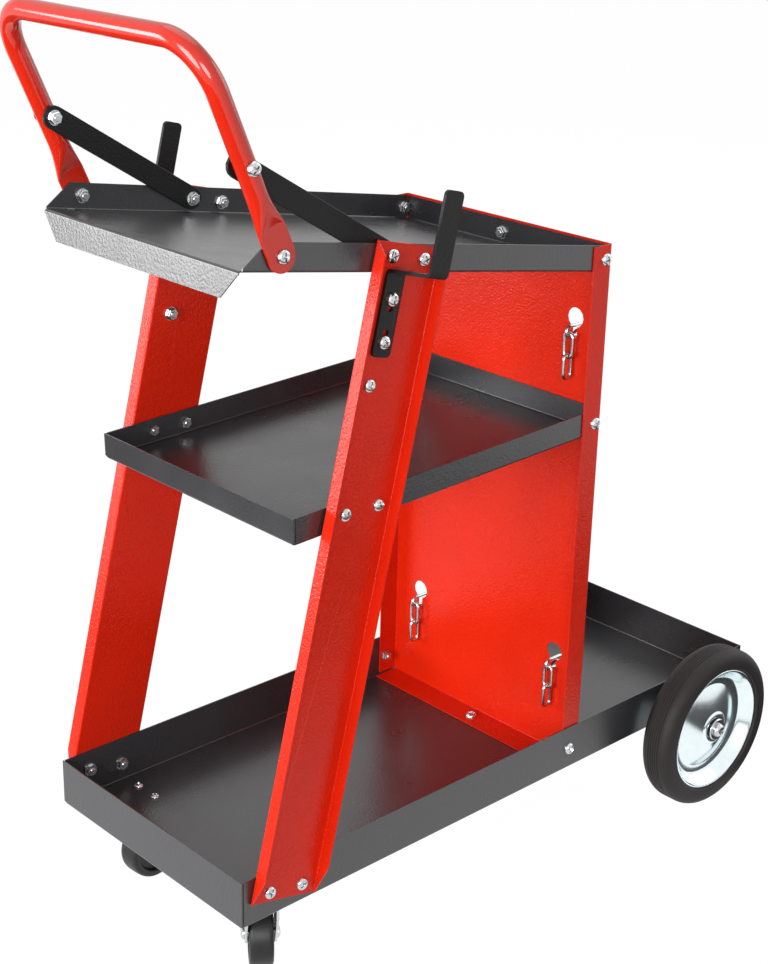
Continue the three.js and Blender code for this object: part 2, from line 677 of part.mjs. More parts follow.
// A torch hook: a bar bent out from the leg and up again, slotted where it bolts to the leg.
function torchHook(name, parent) {
  const slope = radians(HOOK_SLOPE);
  const middle = HOOK_BEND - BAR_THICKNESS / 2;
  const corner = vec(HOOK_ARM * Math.cos(slope), HOOK_ARM * Math.sin(slope), 0);
  const route = [vec(0, -HOOK_PLATE, 0), vec(0, 0, 0), corner, corner.clone().add(vec(0, HOOK_UPRIGHT, 0))];
  const path = new THREE.CurvePath();
  const setback = middle * Math.tan(Math.PI / 4 - slope / 2);
  const short = (from, to) => from.clone().add(to.clone().sub(from).setLength(setback));
  const firstBend = [short(route[1], route[0]), short(route[1], route[2])];
  const secondBend = [short(route[2], route[1]), short(route[2], route[3])];
  path.add(new THREE.LineCurve3(route[0], firstBend[0]));
  path.add(new THREE.QuadraticBezierCurve3(firstBend[0], route[1], firstBend[1]));
  path.add(new THREE.LineCurve3(firstBend[1], secondBend[0]));
  path.add(new THREE.QuadraticBezierCurve3(secondBend[0], route[2], secondBend[1]));
  path.add(new THREE.LineCurve3(secondBend[1], route[3]));
  const half = BAR_THICKNESS / 2;
  const stations = path.curves.flatMap((curve) => {
    const steps = curve.isLineCurve3 ? [0, 1] : [0.25, 0.5, 0.75];
    return steps.map((t) => ({ point: curve.getPoint(t), tangent: curve.getTangent(t) }));
  });
  const edge = (side) =>
    stations.map(({ point, tangent }) => [point.x + side * half * tangent.y, point.y - side * half * tangent.x]);
  const outline = [...edge(1), ...edge(-1).reverse()];
  const face = LEG_SHEET + GAP + half;
  const origin = legPoint(legLength - HOOK_DROP, HOOK_INSET + BAR_WIDTH / 2, face);
  const strip = slab(outline, BAR_WIDTH, legOut, legUp, origin);
  const plateTop = legLength - HOOK_DROP;
  const slots = [
    { from: plateTop - HOOK_UPPER_BOLT, inward: -1 },
    { from: plateTop - HOOK_PLATE + HOOK_LOWER_BOLT, inward: 1 },
  ].flatMap(({ from, inward }) => {
    const cutter = (travel) => {
      const start = legPoint(from + inward * travel, HOOK_INSET, 0);
      return bar(start, start.clone().addScaledVector(legOut, 2 * face), BOLT_HOLE);
    };
    return [0, 0.5, 1].map((share) => cutter(share * (HOOK_SLOT - BOLT_HOLE)));
  });
  const ends = [
    { u: plateTop - HOOK_PLATE, w: face, inward: 1 },
    { u: plateTop + corner.y + HOOK_UPRIGHT, w: face + corner.x, inward: -1 },
  ];
  const corners = ends.flatMap(({ u, w, inward }) =>
    [-1, 1].map((side) => {
      const tip = legPoint(u, HOOK_INSET + (side * BAR_WIDTH) / 2, w);
      return placed(cornerTool(), legBack.clone().multiplyScalar(-side), legUp.clone().multiplyScalar(inward), tip);
    }),
  );
  piece(name, cut(strip, ...slots, ...corners), blackPaint, parent);
}

// What rounding takes off a flat bar's corner at the origin, for a bar that fills the first quarter.
function cornerTool() {
  const shape = new THREE.Shape();
  shape.moveTo(-GAP, -GAP);
  shape.lineTo(BAR_CORNER, -GAP);
  shape.lineTo(BAR_CORNER, 0);
  shape.absarc(BAR_CORNER, BAR_CORNER, BAR_CORNER, -Math.PI / 2, -Math.PI, true);
  shape.lineTo(-GAP, BAR_CORNER);
  return extruded(shape, 2 * BAR_THICKNESS).translate(0, 0, -BAR_THICKNESS);
}

// A pan-head bolt that lies along Y: its head's seat at `seat`, its point towards +Y.
function bolt(name, point, seat, length, parent) {
  const head = BOLT_HEAD / 2;
  const corners = [
    [0, -BOLT_HEAD_RISE],
    [BOLT_HEAD_CROWN / 2, -BOLT_HEAD_RISE],
    [head, -BOLT_HEAD_EDGE],
    [head, 0],
    [BOLT_DIAMETER / 2, 0],
    [BOLT_DIAMETER / 2, length],
    [0, length],
  ];
  const shape = corners.map(([radius, height]) => new THREE.Vector2(radius, height));
  const geometry = new THREE.LatheGeometry(shape, BOLT_STEPS);
  piece(name, geometry, zinc, parent).position.set(point.x, seat, point.z);
}

// What one side of the cart has, built on the right and mirrored for the left.
function side(name, sign) {
  const group = new THREE.Group();
  group.scale.y = sign;
  cart.add(group);
  leg(name + "_leg", group);
  handleBrace(name + "_handle_brace", group);
  torchHook(name + "_torch_hook", group);
  const tongueSeat = -(tongueFace + TONGUE_THICKNESS + GAP);
  const wallInside = -(shelfWidth / 2 - SHEET);
  bolt(name + "_handle_bolt", handleBolt, tongueSeat, wallInside - tongueSeat + BOLT_TAIL, group);
  const tubeSeat = -(tubeMiddle + TUBE_DIAMETER / 2 + GAP);
  const braceInside = BAR_THICKNESS - braceHighFace;
  bolt(name + "_brace_bolt", braceBolt, tubeSeat, braceInside - tubeSeat + BOLT_TAIL, group);
  const legSeat = legBolt.y - LEG_SHEET - GAP;
  const legInside = BAR_THICKNESS - braceLowFace;
  bolt(name + "_leg_bolt", legBolt, legSeat, legInside - legSeat + BOLT_TAIL, group);
  rearWheel(name, group);
  axleStrap(name + "_axle_strap", group);
}

const hubHalf = HUB_LENGTH / 2;
const bushBore = AXLE_DIAMETER + 2 * RUNNING_GAP;
const wheelMiddle = TRAY_WIDTH / 2 + TYRE_CLEARANCE + TYRE_WIDTH / 2; // from the cart's middle to the tyre's
const axleHalf = wheelMiddle + hubHalf + GAP;

function wheelAxle() {
  const shaft = bar(vec(axleX, -axleHalf, axleZ), vec(axleX, axleHalf, axleZ), AXLE_DIAMETER, SMALL_STEPS);
  piece("wheel_axle", shaft, zinc, cart);
}

// A rear wheel: a rubber tyre gripped between two stamped discs on a bush. Heights run outwards, so
// they are turned to point along -Y.
function rearWheel(name, parent) {
  const hub = new THREE.Group();
  hub.position.set(axleX, -wheelMiddle, axleZ);
  hub.rotation.x = Math.PI;
  parent.add(hub);
  const radius = WHEEL_DIAMETER / 2;
  const half = TYRE_WIDTH / 2;
  const rim = RIM_DIAMETER / 2;
  const rimHalf = RIM_WIDTH / 2;
  const well = DISC_WELL_DIAMETER / 2;
  const grooves = [];
  const tread = half - TYRE_SHOULDER;
  for (let groove = 0; groove < TREAD_GROOVES; groove++) {
    const middle = tread - ((2 * groove + 1) * tread) / TREAD_GROOVES;
    grooves.push([radius, middle + TREAD_GROOVE]);
    grooves.push([radius - TREAD_GROOVE, middle]);
    grooves.push([radius, middle - TREAD_GROOVE]);
  }
  const shoulder = (sign) =>
    [0, 0.5, 1].map((share) => {
      const turn = (share * Math.PI) / 2;
      const lift = TYRE_SHOULDER * Math.sin(turn);
      return [radius - TYRE_SHOULDER + TYRE_SHOULDER * Math.cos(turn), sign * (tread + lift)];
    });
  const bead = rim + GAP;
  const gripHalf = rimHalf - 2 * DISC_SHEET - 2 * GAP;
  const rootHalf = DISC_SHEET / 2;
  const tyre = [
    [well + 3 * DISC_SHEET, -rootHalf],
    [bead, -gripHalf],
    [bead, -rimHalf],
    [bead + DISC_SHEET, -half],
    ...shoulder(-1).reverse(),
    ...grooves.reverse(),
    ...shoulder(1),
    [bead + DISC_SHEET, half],
    [bead, rimHalf],
    [bead, gripHalf],
    [well + 3 * DISC_SHEET, rootHalf],
  ];
  piece(name + "_tyre", turned(tyre, WHEEL_STEPS), rubber, hub);
  // A disc: rim lip, sloping wall down to the well, cone out to the flat boss round the bush.
  const boss = HUB_FACE_DIAMETER / 2;
  const bore = BUSH_DIAMETER / 2 + GAP;
  const seam = GAP / 2;
  const bossHeight = hubHalf - DISC_SHEET;
  const disc = [
    [rim, rimHalf],
    [rim - DISC_SHEET, rimHalf],
    [well, DISC_SHEET + seam],
    [well - 2 * DISC_SHEET, DISC_SHEET + seam],
    [boss, bossHeight],
    [bore, bossHeight],
    [bore, bossHeight - DISC_SHEET],
    [boss + DISC_SHEET, bossHeight - DISC_SHEET],
    [well, seam],
    [rim, rimHalf - 2 * DISC_SHEET],
  ];
  piece(name + "_outer_disc", turned(disc, WHEEL_STEPS), zinc, hub);
  piece(name + "_inner_disc", turned(disc, WHEEL_STEPS), zinc, hub).rotation.x = Math.PI;
  const bush = [
    [bushBore / 2, -hubHalf],
    [BUSH_DIAMETER / 2, -hubHalf],
    [BUSH_DIAMETER / 2, hubHalf],
    [bushBore / 2, hubHalf],
  ];
  piece(name + "_hub_bush", turned(bush, SMALL_STEPS), plastic, hub);
  const ringOf = (low, high, diameter) => [
    [bushBore / 2, low],
    [diameter / 2, low],
    [diameter / 2, high],
    [bushBore / 2, high],
  ];
  const collarTop = -hubHalf - GAP;
  const collar = turned(ringOf(collarTop - COLLAR_LENGTH, collarTop, COLLAR_DIAMETER), SMALL_STEPS);
  piece(name + "_axle_collar", collar, zinc, hub);
  const washerFoot = hubHalf + 2 * GAP;
  const washer = [
    [0, washerFoot],
    [WASHER_DIAMETER / 2, washerFoot],
    [WASHER_DIAMETER / 2, washerFoot + WASHER_THICKNESS],
    [0, washerFoot + WASHER_THICKNESS],
  ];
  piece(name + "_axle_washer", latheSolid(washer), zinc, hub);
  const seat = washerFoot + WASHER_THICKNESS + GAP;
  const head = AXLE_SCREW_HEAD / 2;
  const screw = [
    [0, seat],
    [head, seat],
    [head, seat + AXLE_SCREW_EDGE],
    [AXLE_SCREW_CROWN / 2, seat + AXLE_SCREW_RISE],
    [0, seat + AXLE_SCREW_RISE],
  ];
  piece(name + "_axle_screw", latheSolid(screw), zinc, hub);
}

function latheSolid(corners) {
  const points = corners.map(([radius, height]) => new THREE.Vector2(radius, height));
  return new THREE.LatheGeometry(points, SMALL_STEPS);
}

// A strap that hangs the axle from the tray's floor: two feet and a U round the axle.
function axleStrap(name, parent) {
  const inside = AXLE_DIAMETER / 2 + GAP;
  const outside = inside + STRAP_SHEET;
  const top = trayUnderside - GAP - axleZ;
  const foot = outside + STRAP_FOOT;
  const shape = new THREE.Shape();
  shape.moveTo(-foot, top);
  shape.lineTo(-inside, top);
  shape.lineTo(-inside, 0);
  shape.absarc(0, 0, inside, Math.PI, 2 * Math.PI, false);
  shape.lineTo(inside, top);
  shape.lineTo(foot, top);
  shape.lineTo(foot, top - STRAP_SHEET);
  shape.lineTo(outside, top - STRAP_SHEET);
  shape.lineTo(outside, 0);
  shape.absarc(0, 0, outside, 0, -Math.PI, true);
  shape.lineTo(-outside, top - STRAP_SHEET);
  shape.lineTo(-foot, top - STRAP_SHEET);
  const geometry = new THREE.ExtrudeGeometry(shape, {
    depth: STRAP_WIDTH,
    bevelEnabled: false,
    curveSegments: SMALL_STEPS / 2,
  });
  const origin = vec(axleX, STRAP_WIDTH / 2 - strapY, axleZ);
  const holes = strapBolts.map((x) => holeAlongZ(x, -strapY));
  piece(name, cut(placed(geometry, X, Z, origin), ...holes), zinc, parent);
}

// A swivel caster. In its own frame the swivel is the Z axis and the wheel trails along +X.
function caster(name, sign, turnDegrees) {
  const plateTop = trayUnderside - GAP;
  const plateFoot = plateTop - CASTER_PLATE_THICKNESS;
  const raceTop = plateFoot - GAP;
  const raceFoot = raceTop - CASTER_RACE_HEIGHT;
  const crownTop = raceFoot - GAP;
  const crownFoot = crownTop - CASTER_FORK_SHEET;
  const fixed = new THREE.Group();
  fixed.position.set(casterX, sign * casterY, 0);
  cart.add(fixed);
  const swivel = new THREE.Group();
  swivel.rotation.z = radians(turnDegrees);
  fixed.add(swivel);
  const pinHole = KINGPIN_DIAMETER + 2 * RUNNING_GAP;
  const down = (from, to, diameter, steps) => bar(vec(0, 0, from), vec(0, 0, to), diameter, steps);
  const plate = box(
    vec(-CASTER_PLATE_LENGTH / 2, -CASTER_PLATE_WIDTH / 2, plateFoot),
    vec(CASTER_PLATE_LENGTH / 2, CASTER_PLATE_WIDTH / 2, plateTop),
  );
  const plateHole = down(plateFoot - GAP, plateTop + GAP, pinHole);
  const boltHoles = casterBolts.map(([x, y]) => holeAlongZ(x, y));
  piece(name + "_caster_plate", cut(plate, plateHole, ...boltHoles), zinc, fixed);
  const raceRim = CASTER_RACE_DIAMETER / 2;
  const raceWaist = raceRim - CASTER_RACE_HEIGHT / 3;
  const race = [
    [pinHole / 2, raceFoot],
    [raceWaist, raceFoot],
    [raceRim, raceFoot + CASTER_RACE_HEIGHT / 3],
    [raceRim, raceTop - CASTER_RACE_HEIGHT / 3],
    [raceWaist, raceTop],
    [pinHole / 2, raceTop],
  ];
  piece(name + "_caster_race", turned(race, SMALL_STEPS).rotateX(Math.PI / 2), zinc, fixed);
  const headTop = crownFoot - GAP;
  const kingpin = join(
    down(headTop, plateTop, KINGPIN_DIAMETER, HOLE_STEPS),
    down(headTop - KINGPIN_RISE, headTop, KINGPIN_HEAD, HOLE_STEPS),
  );
  piece(name + "_caster_kingpin", kingpin, zinc, fixed);
  const axle = vec(CASTER_TRAIL, 0, CASTER_WHEEL_DIAMETER / 2);
  const cheekInside = CASTER_WHEEL_WIDTH / 2 + CASTER_SIDE_CLEARANCE;
  const cheekOutside = cheekInside + CASTER_FORK_SHEET;
  const crown = down(crownFoot, crownTop, CASTER_CROWN_DIAMETER, SMALL_STEPS);
  const shoulder = Math.sqrt((CASTER_CROWN_DIAMETER / 2) ** 2 - cheekOutside ** 2);
  const cheek = (y) => {
    const shape = new THREE.Shape();
    shape.moveTo(-shoulder, crownTop);
    shape.lineTo(-shoulder, crownTop - CASTER_CROWN_DIAMETER / 3);
    shape.absarc(axle.x, axle.z, CASTER_CHEEK_END, radians(CASTER_CHEEK_START), radians(CASTER_CHEEK_STOP), false);
    shape.lineTo(shoulder + CASTER_FORK_SHEET, crownTop);
    const geometry = new THREE.ExtrudeGeometry(shape, {
      depth: CASTER_FORK_SHEET,
      bevelEnabled: false,
      curveSegments: HOLE_STEPS / 2,
    });
    return placed(geometry, X, Z, vec(0, y, 0));
  };
  const axleHole = CASTER_AXLE_DIAMETER + 2 * RUNNING_GAP;
  const across = (half, diameter, steps) =>
    bar(vec(axle.x, -half, axle.z), vec(axle.x, half, axle.z), diameter, steps);
  const fork = cut(
    join(crown, cheek(cheekOutside), cheek(-cheekInside)),
    down(crownFoot - GAP, crownTop + GAP, pinHole),
    across(cheekOutside + GAP, axleHole),
  );
  piece(name + "_caster_fork", fork, zinc, swivel);
  const radius = CASTER_WHEEL_DIAMETER / 2;
  const half = CASTER_WHEEL_WIDTH / 2;
  const edge = half / 4;
  const hubRadius = CASTER_HUB_DIAMETER / 2;
  const dishRadius = CASTER_DISH_DIAMETER / 2;
  const dishFloor = half - CASTER_DISH_DEPTH;
  const halfWheel = [
    [axleHole / 2, half],
    [hubRadius, half],
    [hubRadius + CASTER_DRAFT, dishFloor],
    [dishRadius - CASTER_DRAFT, dishFloor],
    [dishRadius, half],
    [radius - edge, half],
    [radius, half - edge],
  ];
  const wheel = [...halfWheel, ...halfWheel.map(([r, h]) => [r, -h]).reverse()].reverse();
  const wheelMesh = piece(name + "_caster_wheel", turned(wheel, SMALL_STEPS), plastic, swivel);
  wheelMesh.position.copy(axle);
  const rivetHalf = cheekOutside + GAP;
  const rivet = [
    [0, -rivetHalf - CASTER_AXLE_RISE],
    [CASTER_AXLE_CROWN / 2, -rivetHalf - CASTER_AXLE_RISE],
    [CASTER_AXLE_HEAD / 2, -rivetHalf - CASTER_AXLE_RISE / 2],
    [CASTER_AXLE_HEAD / 2, -rivetHalf],
    [CASTER_AXLE_DIAMETER / 2, -rivetHalf],
  ];
  const bothEnds = [...rivet, ...rivet.map(([r, h]) => [r, -h]).reverse()];
  piece(name + "_caster_axle", latheSolid(bothEnds), zinc, swivel).position.copy(axle);
}

// A chain link: a wire bent into a long ring. Its long way is Z and it lies in the plane of Y and Z.
const wireRadius = LINK_WIRE / 2;
const wireFlat = wireRadius * Math.cos(Math.PI / LINK_SIDES); // from the wire's middle to its inner flat
const linkBend = LINK_WIDTH / 2 - wireRadius;
const linkReach = LINK_LENGTH / 2 - wireRadius; // from the link's middle to the wire at its end
function link() {
  const corner = linkBend / Math.cos(Math.PI / 2 / LINK_ARC_STEPS);
  const rings = [];
  for (const end of [1, -1]) {
    for (let step = 0; step <= LINK_ARC_STEPS; step++) {
      const turn = (step / LINK_ARC_STEPS) * Math.PI + (end > 0 ? 0 : Math.PI);
      const outward = vec(0, Math.cos(turn), Math.sin(turn));
      const inside = step > 0 && step < LINK_ARC_STEPS;
      const middle = outward.clone().multiplyScalar(inside ? corner : linkBend);
      middle.z += end * (linkReach - linkBend);
      const ring = Array.from({ length: LINK_SIDES }, (_, side) => {
        const spin = (side * 2 * Math.PI) / LINK_SIDES;
        const radial = outward.clone().multiplyScalar(wireRadius * Math.cos(spin));
        return middle.clone().add(radial).addScaledVector(X, -wireRadius * Math.sin(spin));
      });
      rings.push(ring);
    }
  }
  return loft(rings, true);
}

// A chain passes through the panel at each slot, where one link stands on edge across the sheet.
const slotLinkX = (panelFront + panelRear) / 2;
const linkClearance = LINK_WIDTH / 2 + 2 * GAP; // from the panel to the links that hang beside it
const slotLinkZ = (keyholeZ) => keyholeZ - KEYHOLE_DROP + GAP + LINK_WIDTH / 2;
const linkPitch = 2 * (linkReach - wireFlat) + LINK_BITE;
const spanLinks = 1 + 2 * Math.ceil(((2 * keyholeY * CHAIN_SLACK_RATIO) / linkPitch - 1) / 2); // an odd count

// A chain's span: the two links in the slots, and the links that hang between them behind the panel
// on a catenary, each pressed against the next and turned a quarter from it.
function chainSpan(name, keyholeZ) {
  const slotLinks = [-1, 1].map((sign) =>
    link()
      .rotateZ(Math.PI / 2)
      .rotateY(Math.PI / 2)
      .translate(slotLinkX, sign * keyholeY, slotLinkZ(keyholeZ)),
  );
  const length = spanLinks * linkPitch;
  // The catenary's half span over its scale, by repeated substitution.
  let share = 1;
  for (let step = 0; step < CATENARY_ROUNDS; step++) share = Math.asinh((length / (2 * keyholeY)) * share);
  const scale = keyholeY / share;
  const hangX = panelRear + linkClearance;
  const endLift = Math.max(hangX - slotLinkX - linkReach + linkBend, 0);
  const lowWire = slotLinkZ(keyholeZ) - Math.sqrt(linkBend ** 2 - endLift ** 2);
  const seat = lowWire + wireFlat - LINK_BITE;
  const hang = (distance) => {
    const y = scale * Math.asinh(distance / scale);
    return vec(hangX, y, seat + scale * (Math.cosh(y / scale) - Math.cosh(share)));
  };
  const links = Array.from({ length: spanLinks }, (_, step) => {
    const from = hang(step * linkPitch - length / 2);
    const to = hang((step + 1) * linkPitch - length / 2);
    const along = new THREE.Vector3().subVectors(to, from).normalize();
    const across = new THREE.Vector3().crossVectors(along, X);
    const flat = new THREE.Matrix4().makeBasis(X, across, along);
    const onEdge = new THREE.Matrix4().makeBasis(across, X.clone().negate(), along);
    const turn = step % 2 === 0 ? flat : onEdge;
    return link().applyMatrix4(turn.setPosition(from.add(to).multiplyScalar(0.5)));
  });
  piece(name, join(...slotLinks, ...links), zinc, cart);
}

// The two links that hang from a slot's link on the handle side.
function chainTail(name, keyholeZ, sign) {
  const tailX = panelFront - linkClearance;
  const endLift = Math.max(slotLinkX - linkReach + linkBend - tailX, 0);
  const room = linkBend - wireFlat - wireRadius - LINK_REST;
  const top = slotLinkZ(keyholeZ) - Math.sqrt(Math.max(room ** 2 - endLift ** 2, 0));
  const first = piece(name + "_link_1", link(), zinc, cart);
  first.position.set(tailX, sign * keyholeY, top - linkReach);
  const second = piece(name + "_link_2", link().rotateZ(Math.PI / 2), zinc, cart);
  const drop = 2 * (linkReach - wireFlat) - LINK_REST;
  second.position.copy(first.position).add(vec(0, 0, -drop));
}

bottomTray();
middleShelfPiece();
topShelfPiece();
backPanel();
handleTube();
wheelAxle();
side("right", 1);
side("left", -1);
caster("right", -1, RIGHT_CASTER_TURN);
caster("left", 1, LEFT_CASTER_TURN);
["upper", "lower"].forEach((level, row) => {
  chainSpan(level + "_chain", keyholes[row]);
  chainTail(level + "_right_tail", keyholes[row], -1);
  chainTail(level + "_left_tail", keyholes[row], 1);
});

export default cart;
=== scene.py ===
"""Looks of a welding cart: finishes for its folded sheets, and the smooth pieces on and around them."""

import math

import bmesh
import bpy
from bpy.props import FloatProperty, FloatVectorProperty, PointerProperty
from mathutils import Matrix, Vector


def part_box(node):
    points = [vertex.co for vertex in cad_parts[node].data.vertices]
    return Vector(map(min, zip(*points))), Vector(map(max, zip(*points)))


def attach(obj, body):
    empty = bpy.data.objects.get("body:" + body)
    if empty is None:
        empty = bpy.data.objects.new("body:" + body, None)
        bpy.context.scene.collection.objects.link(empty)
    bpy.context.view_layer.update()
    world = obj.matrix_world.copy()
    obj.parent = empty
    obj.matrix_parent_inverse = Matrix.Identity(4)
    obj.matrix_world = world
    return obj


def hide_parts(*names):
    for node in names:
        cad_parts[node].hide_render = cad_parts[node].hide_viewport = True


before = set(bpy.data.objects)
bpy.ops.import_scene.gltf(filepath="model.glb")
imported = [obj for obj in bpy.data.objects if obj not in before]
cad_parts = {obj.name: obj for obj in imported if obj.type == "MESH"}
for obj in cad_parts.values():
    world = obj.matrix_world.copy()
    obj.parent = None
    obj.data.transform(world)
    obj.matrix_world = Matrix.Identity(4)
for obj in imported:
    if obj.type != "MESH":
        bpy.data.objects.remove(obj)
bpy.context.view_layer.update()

bl_info = {
    "name": "Welding cart",
    "version": (1, 0, 0),
    "blender": (4, 5, 0),
    "location": "View3D > Sidebar > Cart",
    "description": "Builds the looks of a welding cart around its packed frame",
    "category": "Add Mesh",
}

MM = 0.001
SIDES = {"right": -1, "left": 1}
LEVELS = ("upper", "lower")
FRAME_BODY = "frame"
UP = Vector((0, 0, 1))
REAR = Vector((1, 0, 0))
LEFT = Vector((0, 1, 0))
WHITE = (1, 1, 1)
SMOOTH_STEPS = 72  # round a wheel
SMALL_STEPS = 36  # round a hub, a washer or a pin
HEAD_STEPS = 24  # round a screw head
HEX = 6
SHARP_ANGLE = math.radians(38)  # steeper edges aren't shaded smooth
BEVEL_ANGLE = math.radians(40)  # steeper edges are rounded
BEVEL_STEPS = 2
WELD_REACH = 0.01 * MM  # nearer corners become one, so that edges can be rounded
NOISE_MIDDLE = 0.5  # of a noise that runs from 0 to 1
SPIN_STEP = 2.4  # how far each screw is turned on from the one before, in radians


def length(name, description, millimetres):
    """A length property, written in millimetres and kept in metres."""
    return FloatProperty(name=name, description=description, default=millimetres * MM, unit="LENGTH")


def colour(name, description, value):
    """A paint colour property, in linear light."""
    return FloatVectorProperty(
        name=name, description=description, default=value, subtype="COLOR", size=3, min=0, max=1
    )


class CartSizes(bpy.types.PropertyGroup):
    """Sizes of the pieces that are made here."""

    sheet: length("Sheet", "Of the tray, the shelves and the panel", 1.2)
    leg_sheet: length("Leg sheet", "Of the legs", 1.5)
    gap: length("Gap", "Between pieces that touch", 0.3)
    soft_edge: length("Soft edge", "Radius of the paint over a sheet's edge", 0.45)
    bar_thickness: length("Bar", "Thickness of the hooks and the braces", 3)
    tube: length("Tube", "Diameter of the push handle", 18)
    tongue_width: length("Tongue width", "Of the handle's pressed ends", 27)
    tongue_thickness: length("Tongue thickness", "Of the handle's pressed ends", 3.2)
    tongue_length: length("Tongue length", "Flat from the bolt up", 27)
    tongue_run: length("Tongue run", "From flat to round", 30)
    tongue_crease: length("Tongue crease", "How far the flat reaches up its middle", 5)
    handle_reach: length("Handle reach", "From the bolts to the crossbar", 184)
    handle_bend: length("Handle bend", "Radius at the middle of the tube", 42)
    wheel_radius: length("Wheel radius", "Of the rear wheels", 89)
    tyre_width: length("Tyre width", "Over the sidewalls", 37)
    tyre_shoulder: length("Tyre shoulder", "Radius of the shoulder", 11)
    rib_depth: length("Rib depth", "Of the fine ribs round the tread", 0.7)
    rim_radius: length("Rim radius", "Of the wheel discs", 68.5)
    rim_half: length("Rim half", "From the tyre's middle to the rim lip", 16.5)
    well_radius: length("Well radius", "Where the discs meet", 53)
    boss_radius: length("Boss radius", "Of the flat round the bush", 17)
    hub_half: length("Hub half", "From the tyre's middle to the bush's end", 15.5)
    disc_sheet: length("Disc sheet", "Of the wheel discs", 1.5)
    bush_radius: length("Bush radius", "Outside of the hub bushes", 10)
    axle_radius: length("Axle radius", "Of the rear axle", 5.5)
    collar_radius: length("Collar radius", "Of the axle's inner collars", 10.5)
    washer_radius: length("Washer radius", "Of the wheels' outer washers", 12)
    axle_screw_radius: length("Axle screw radius", "Of the heads at the hubs", 7.5)
    caster_radius: length("Caster radius", "Of the caster wheels", 31.75)
    caster_width: length("Caster width", "Of the caster wheels", 23)
    caster_clearance: length("Caster clearance", "From the wheel to each cheek", 1.2)
    fork_sheet: length("Fork sheet", "Of the caster forks", 2.5)
    crown_radius: length("Crown radius", "Of the fork's round top", 21)
    cheek_end: length("Cheek end", "Radius of the cheek round the axle", 10)
    caster_axle_radius: length("Caster axle radius", "Of the rivets through the casters", 4)
    caster_axle_head: length("Caster axle head", "Radius of the rivets' heads", 6.5)
    kingpin_radius: length("Kingpin radius", "Of the pins that the forks turn on", 5)
    kingpin_head: length("Kingpin head", "Radius of the kingpins' heads", 9)
    link_length: length("Link length", "Of the chain links", 28)
    link_width: length("Link width", "Of the chain links", 14)
    link_wire: length("Link wire", "Diameter of the links' wire", 3.5)
    bolt_radius: length("Bolt radius", "Of the screws' shanks", 3)
    head_radius: length("Head radius", "Of the pan heads", 6.25)
    head_rise: length("Head rise", "Of the pan heads", 3.8)
    nut_radius: length("Nut radius", "Over the corners of the nuts", 5.8)
    nut_height: length("Nut height", "Of the nuts", 4)
    nut_washer: length("Nut washer", "Radius of the washers under the nuts", 6.6)
    nut_washer_sheet: length("Nut washer sheet", "Thickness of the washers under the nuts", 0.9)
    tail: length("Bolt tail", "Past the nut", 0.9)
    floor_head_radius: length("Floor head radius", "Of the low heads on the tray's floor", 4.8)
    floor_head_rise: length("Floor head rise", "Of the low heads on the tray's floor", 2.4)


class CartFinishes(bpy.types.PropertyGroup):
    """Colours of the cart's finishes."""

    charcoal: colour("Charcoal hammertone", "Tray and shelves", (0.022, 0.022, 0.025))
    red: colour("Red paint", "Panel, legs and handle", (0.66, 0.017, 0.0025))
    black: colour("Black hammertone", "Hooks and braces", (0.009, 0.009, 0.0095))
    zinc: colour("Zinc plate", "Screws, chains and casters", (0.62, 0.63, 0.64))
    bright_zinc: colour("Bright zinc", "Wheel discs", (0.85, 0.94, 0.98))
    rubber: colour("Tyre rubber", "Rear tyres", (0.013, 0.010, 0.010))
    plastic: colour("Black plastic", "Caster wheels and bushes", (0.010, 0.010, 0.010))


class Value:
    """A shader socket that plain arithmetic works on: each operation adds a Math node."""

    def __init__(self, tree, socket):
        self.tree = tree
        self.socket = socket

    def math(self, operation, *values):
        """What a Math node makes of the values."""
        return Nodes(self.tree).add("Math", {"operation": operation}, dict(enumerate(values)))

    def __add__(self, other):
        return self.math("ADD", self, other)

    def __radd__(self, other):
        return self.math("ADD", other, self)

    def __sub__(self, other):
        return self.math("SUBTRACT", self, other)

    def __rsub__(self, other):
        return self.math("SUBTRACT", other, self)

    def __mul__(self, other):
        return self.math("MULTIPLY", self, other)

    def __rmul__(self, other):
        return self.math("MULTIPLY", other, self)


def feed(tree, place, value):
    """Links a value to an input, or sets a plain number or colour on it."""
    if isinstance(value, Value):
        tree.links.new(value.socket, place)
    else:
        place.default_value = value


class Nodes:
    """A node tree of a material or of the world."""

    # Sockets of a Mix node that mixes colours.
    mix_factor = 0
    mix_first = 6
    mix_second = 7
    mix_result = 2

    def __init__(self, tree):
        self.tree = tree

    def add(self, kind, settings=None, inputs=None, output=0):
        """Adds any node: its settings first, then its inputs by name or number."""
        node = self.tree.nodes.new("ShaderNode" + kind)
        for setting, value in (settings or {}).items():
            setattr(node, setting, value)
        for place, value in (inputs or {}).items():
            feed(self.tree, node.inputs[place], value)
        return Value(self.tree, node.outputs[output])

    def mix(self, factor, first, second):
        """A colour between two colours."""
        inputs = {self.mix_factor: factor, self.mix_first: first, self.mix_second: second}
        return self.add("Mix", {"data_type": "RGBA"}, inputs, self.mix_result)


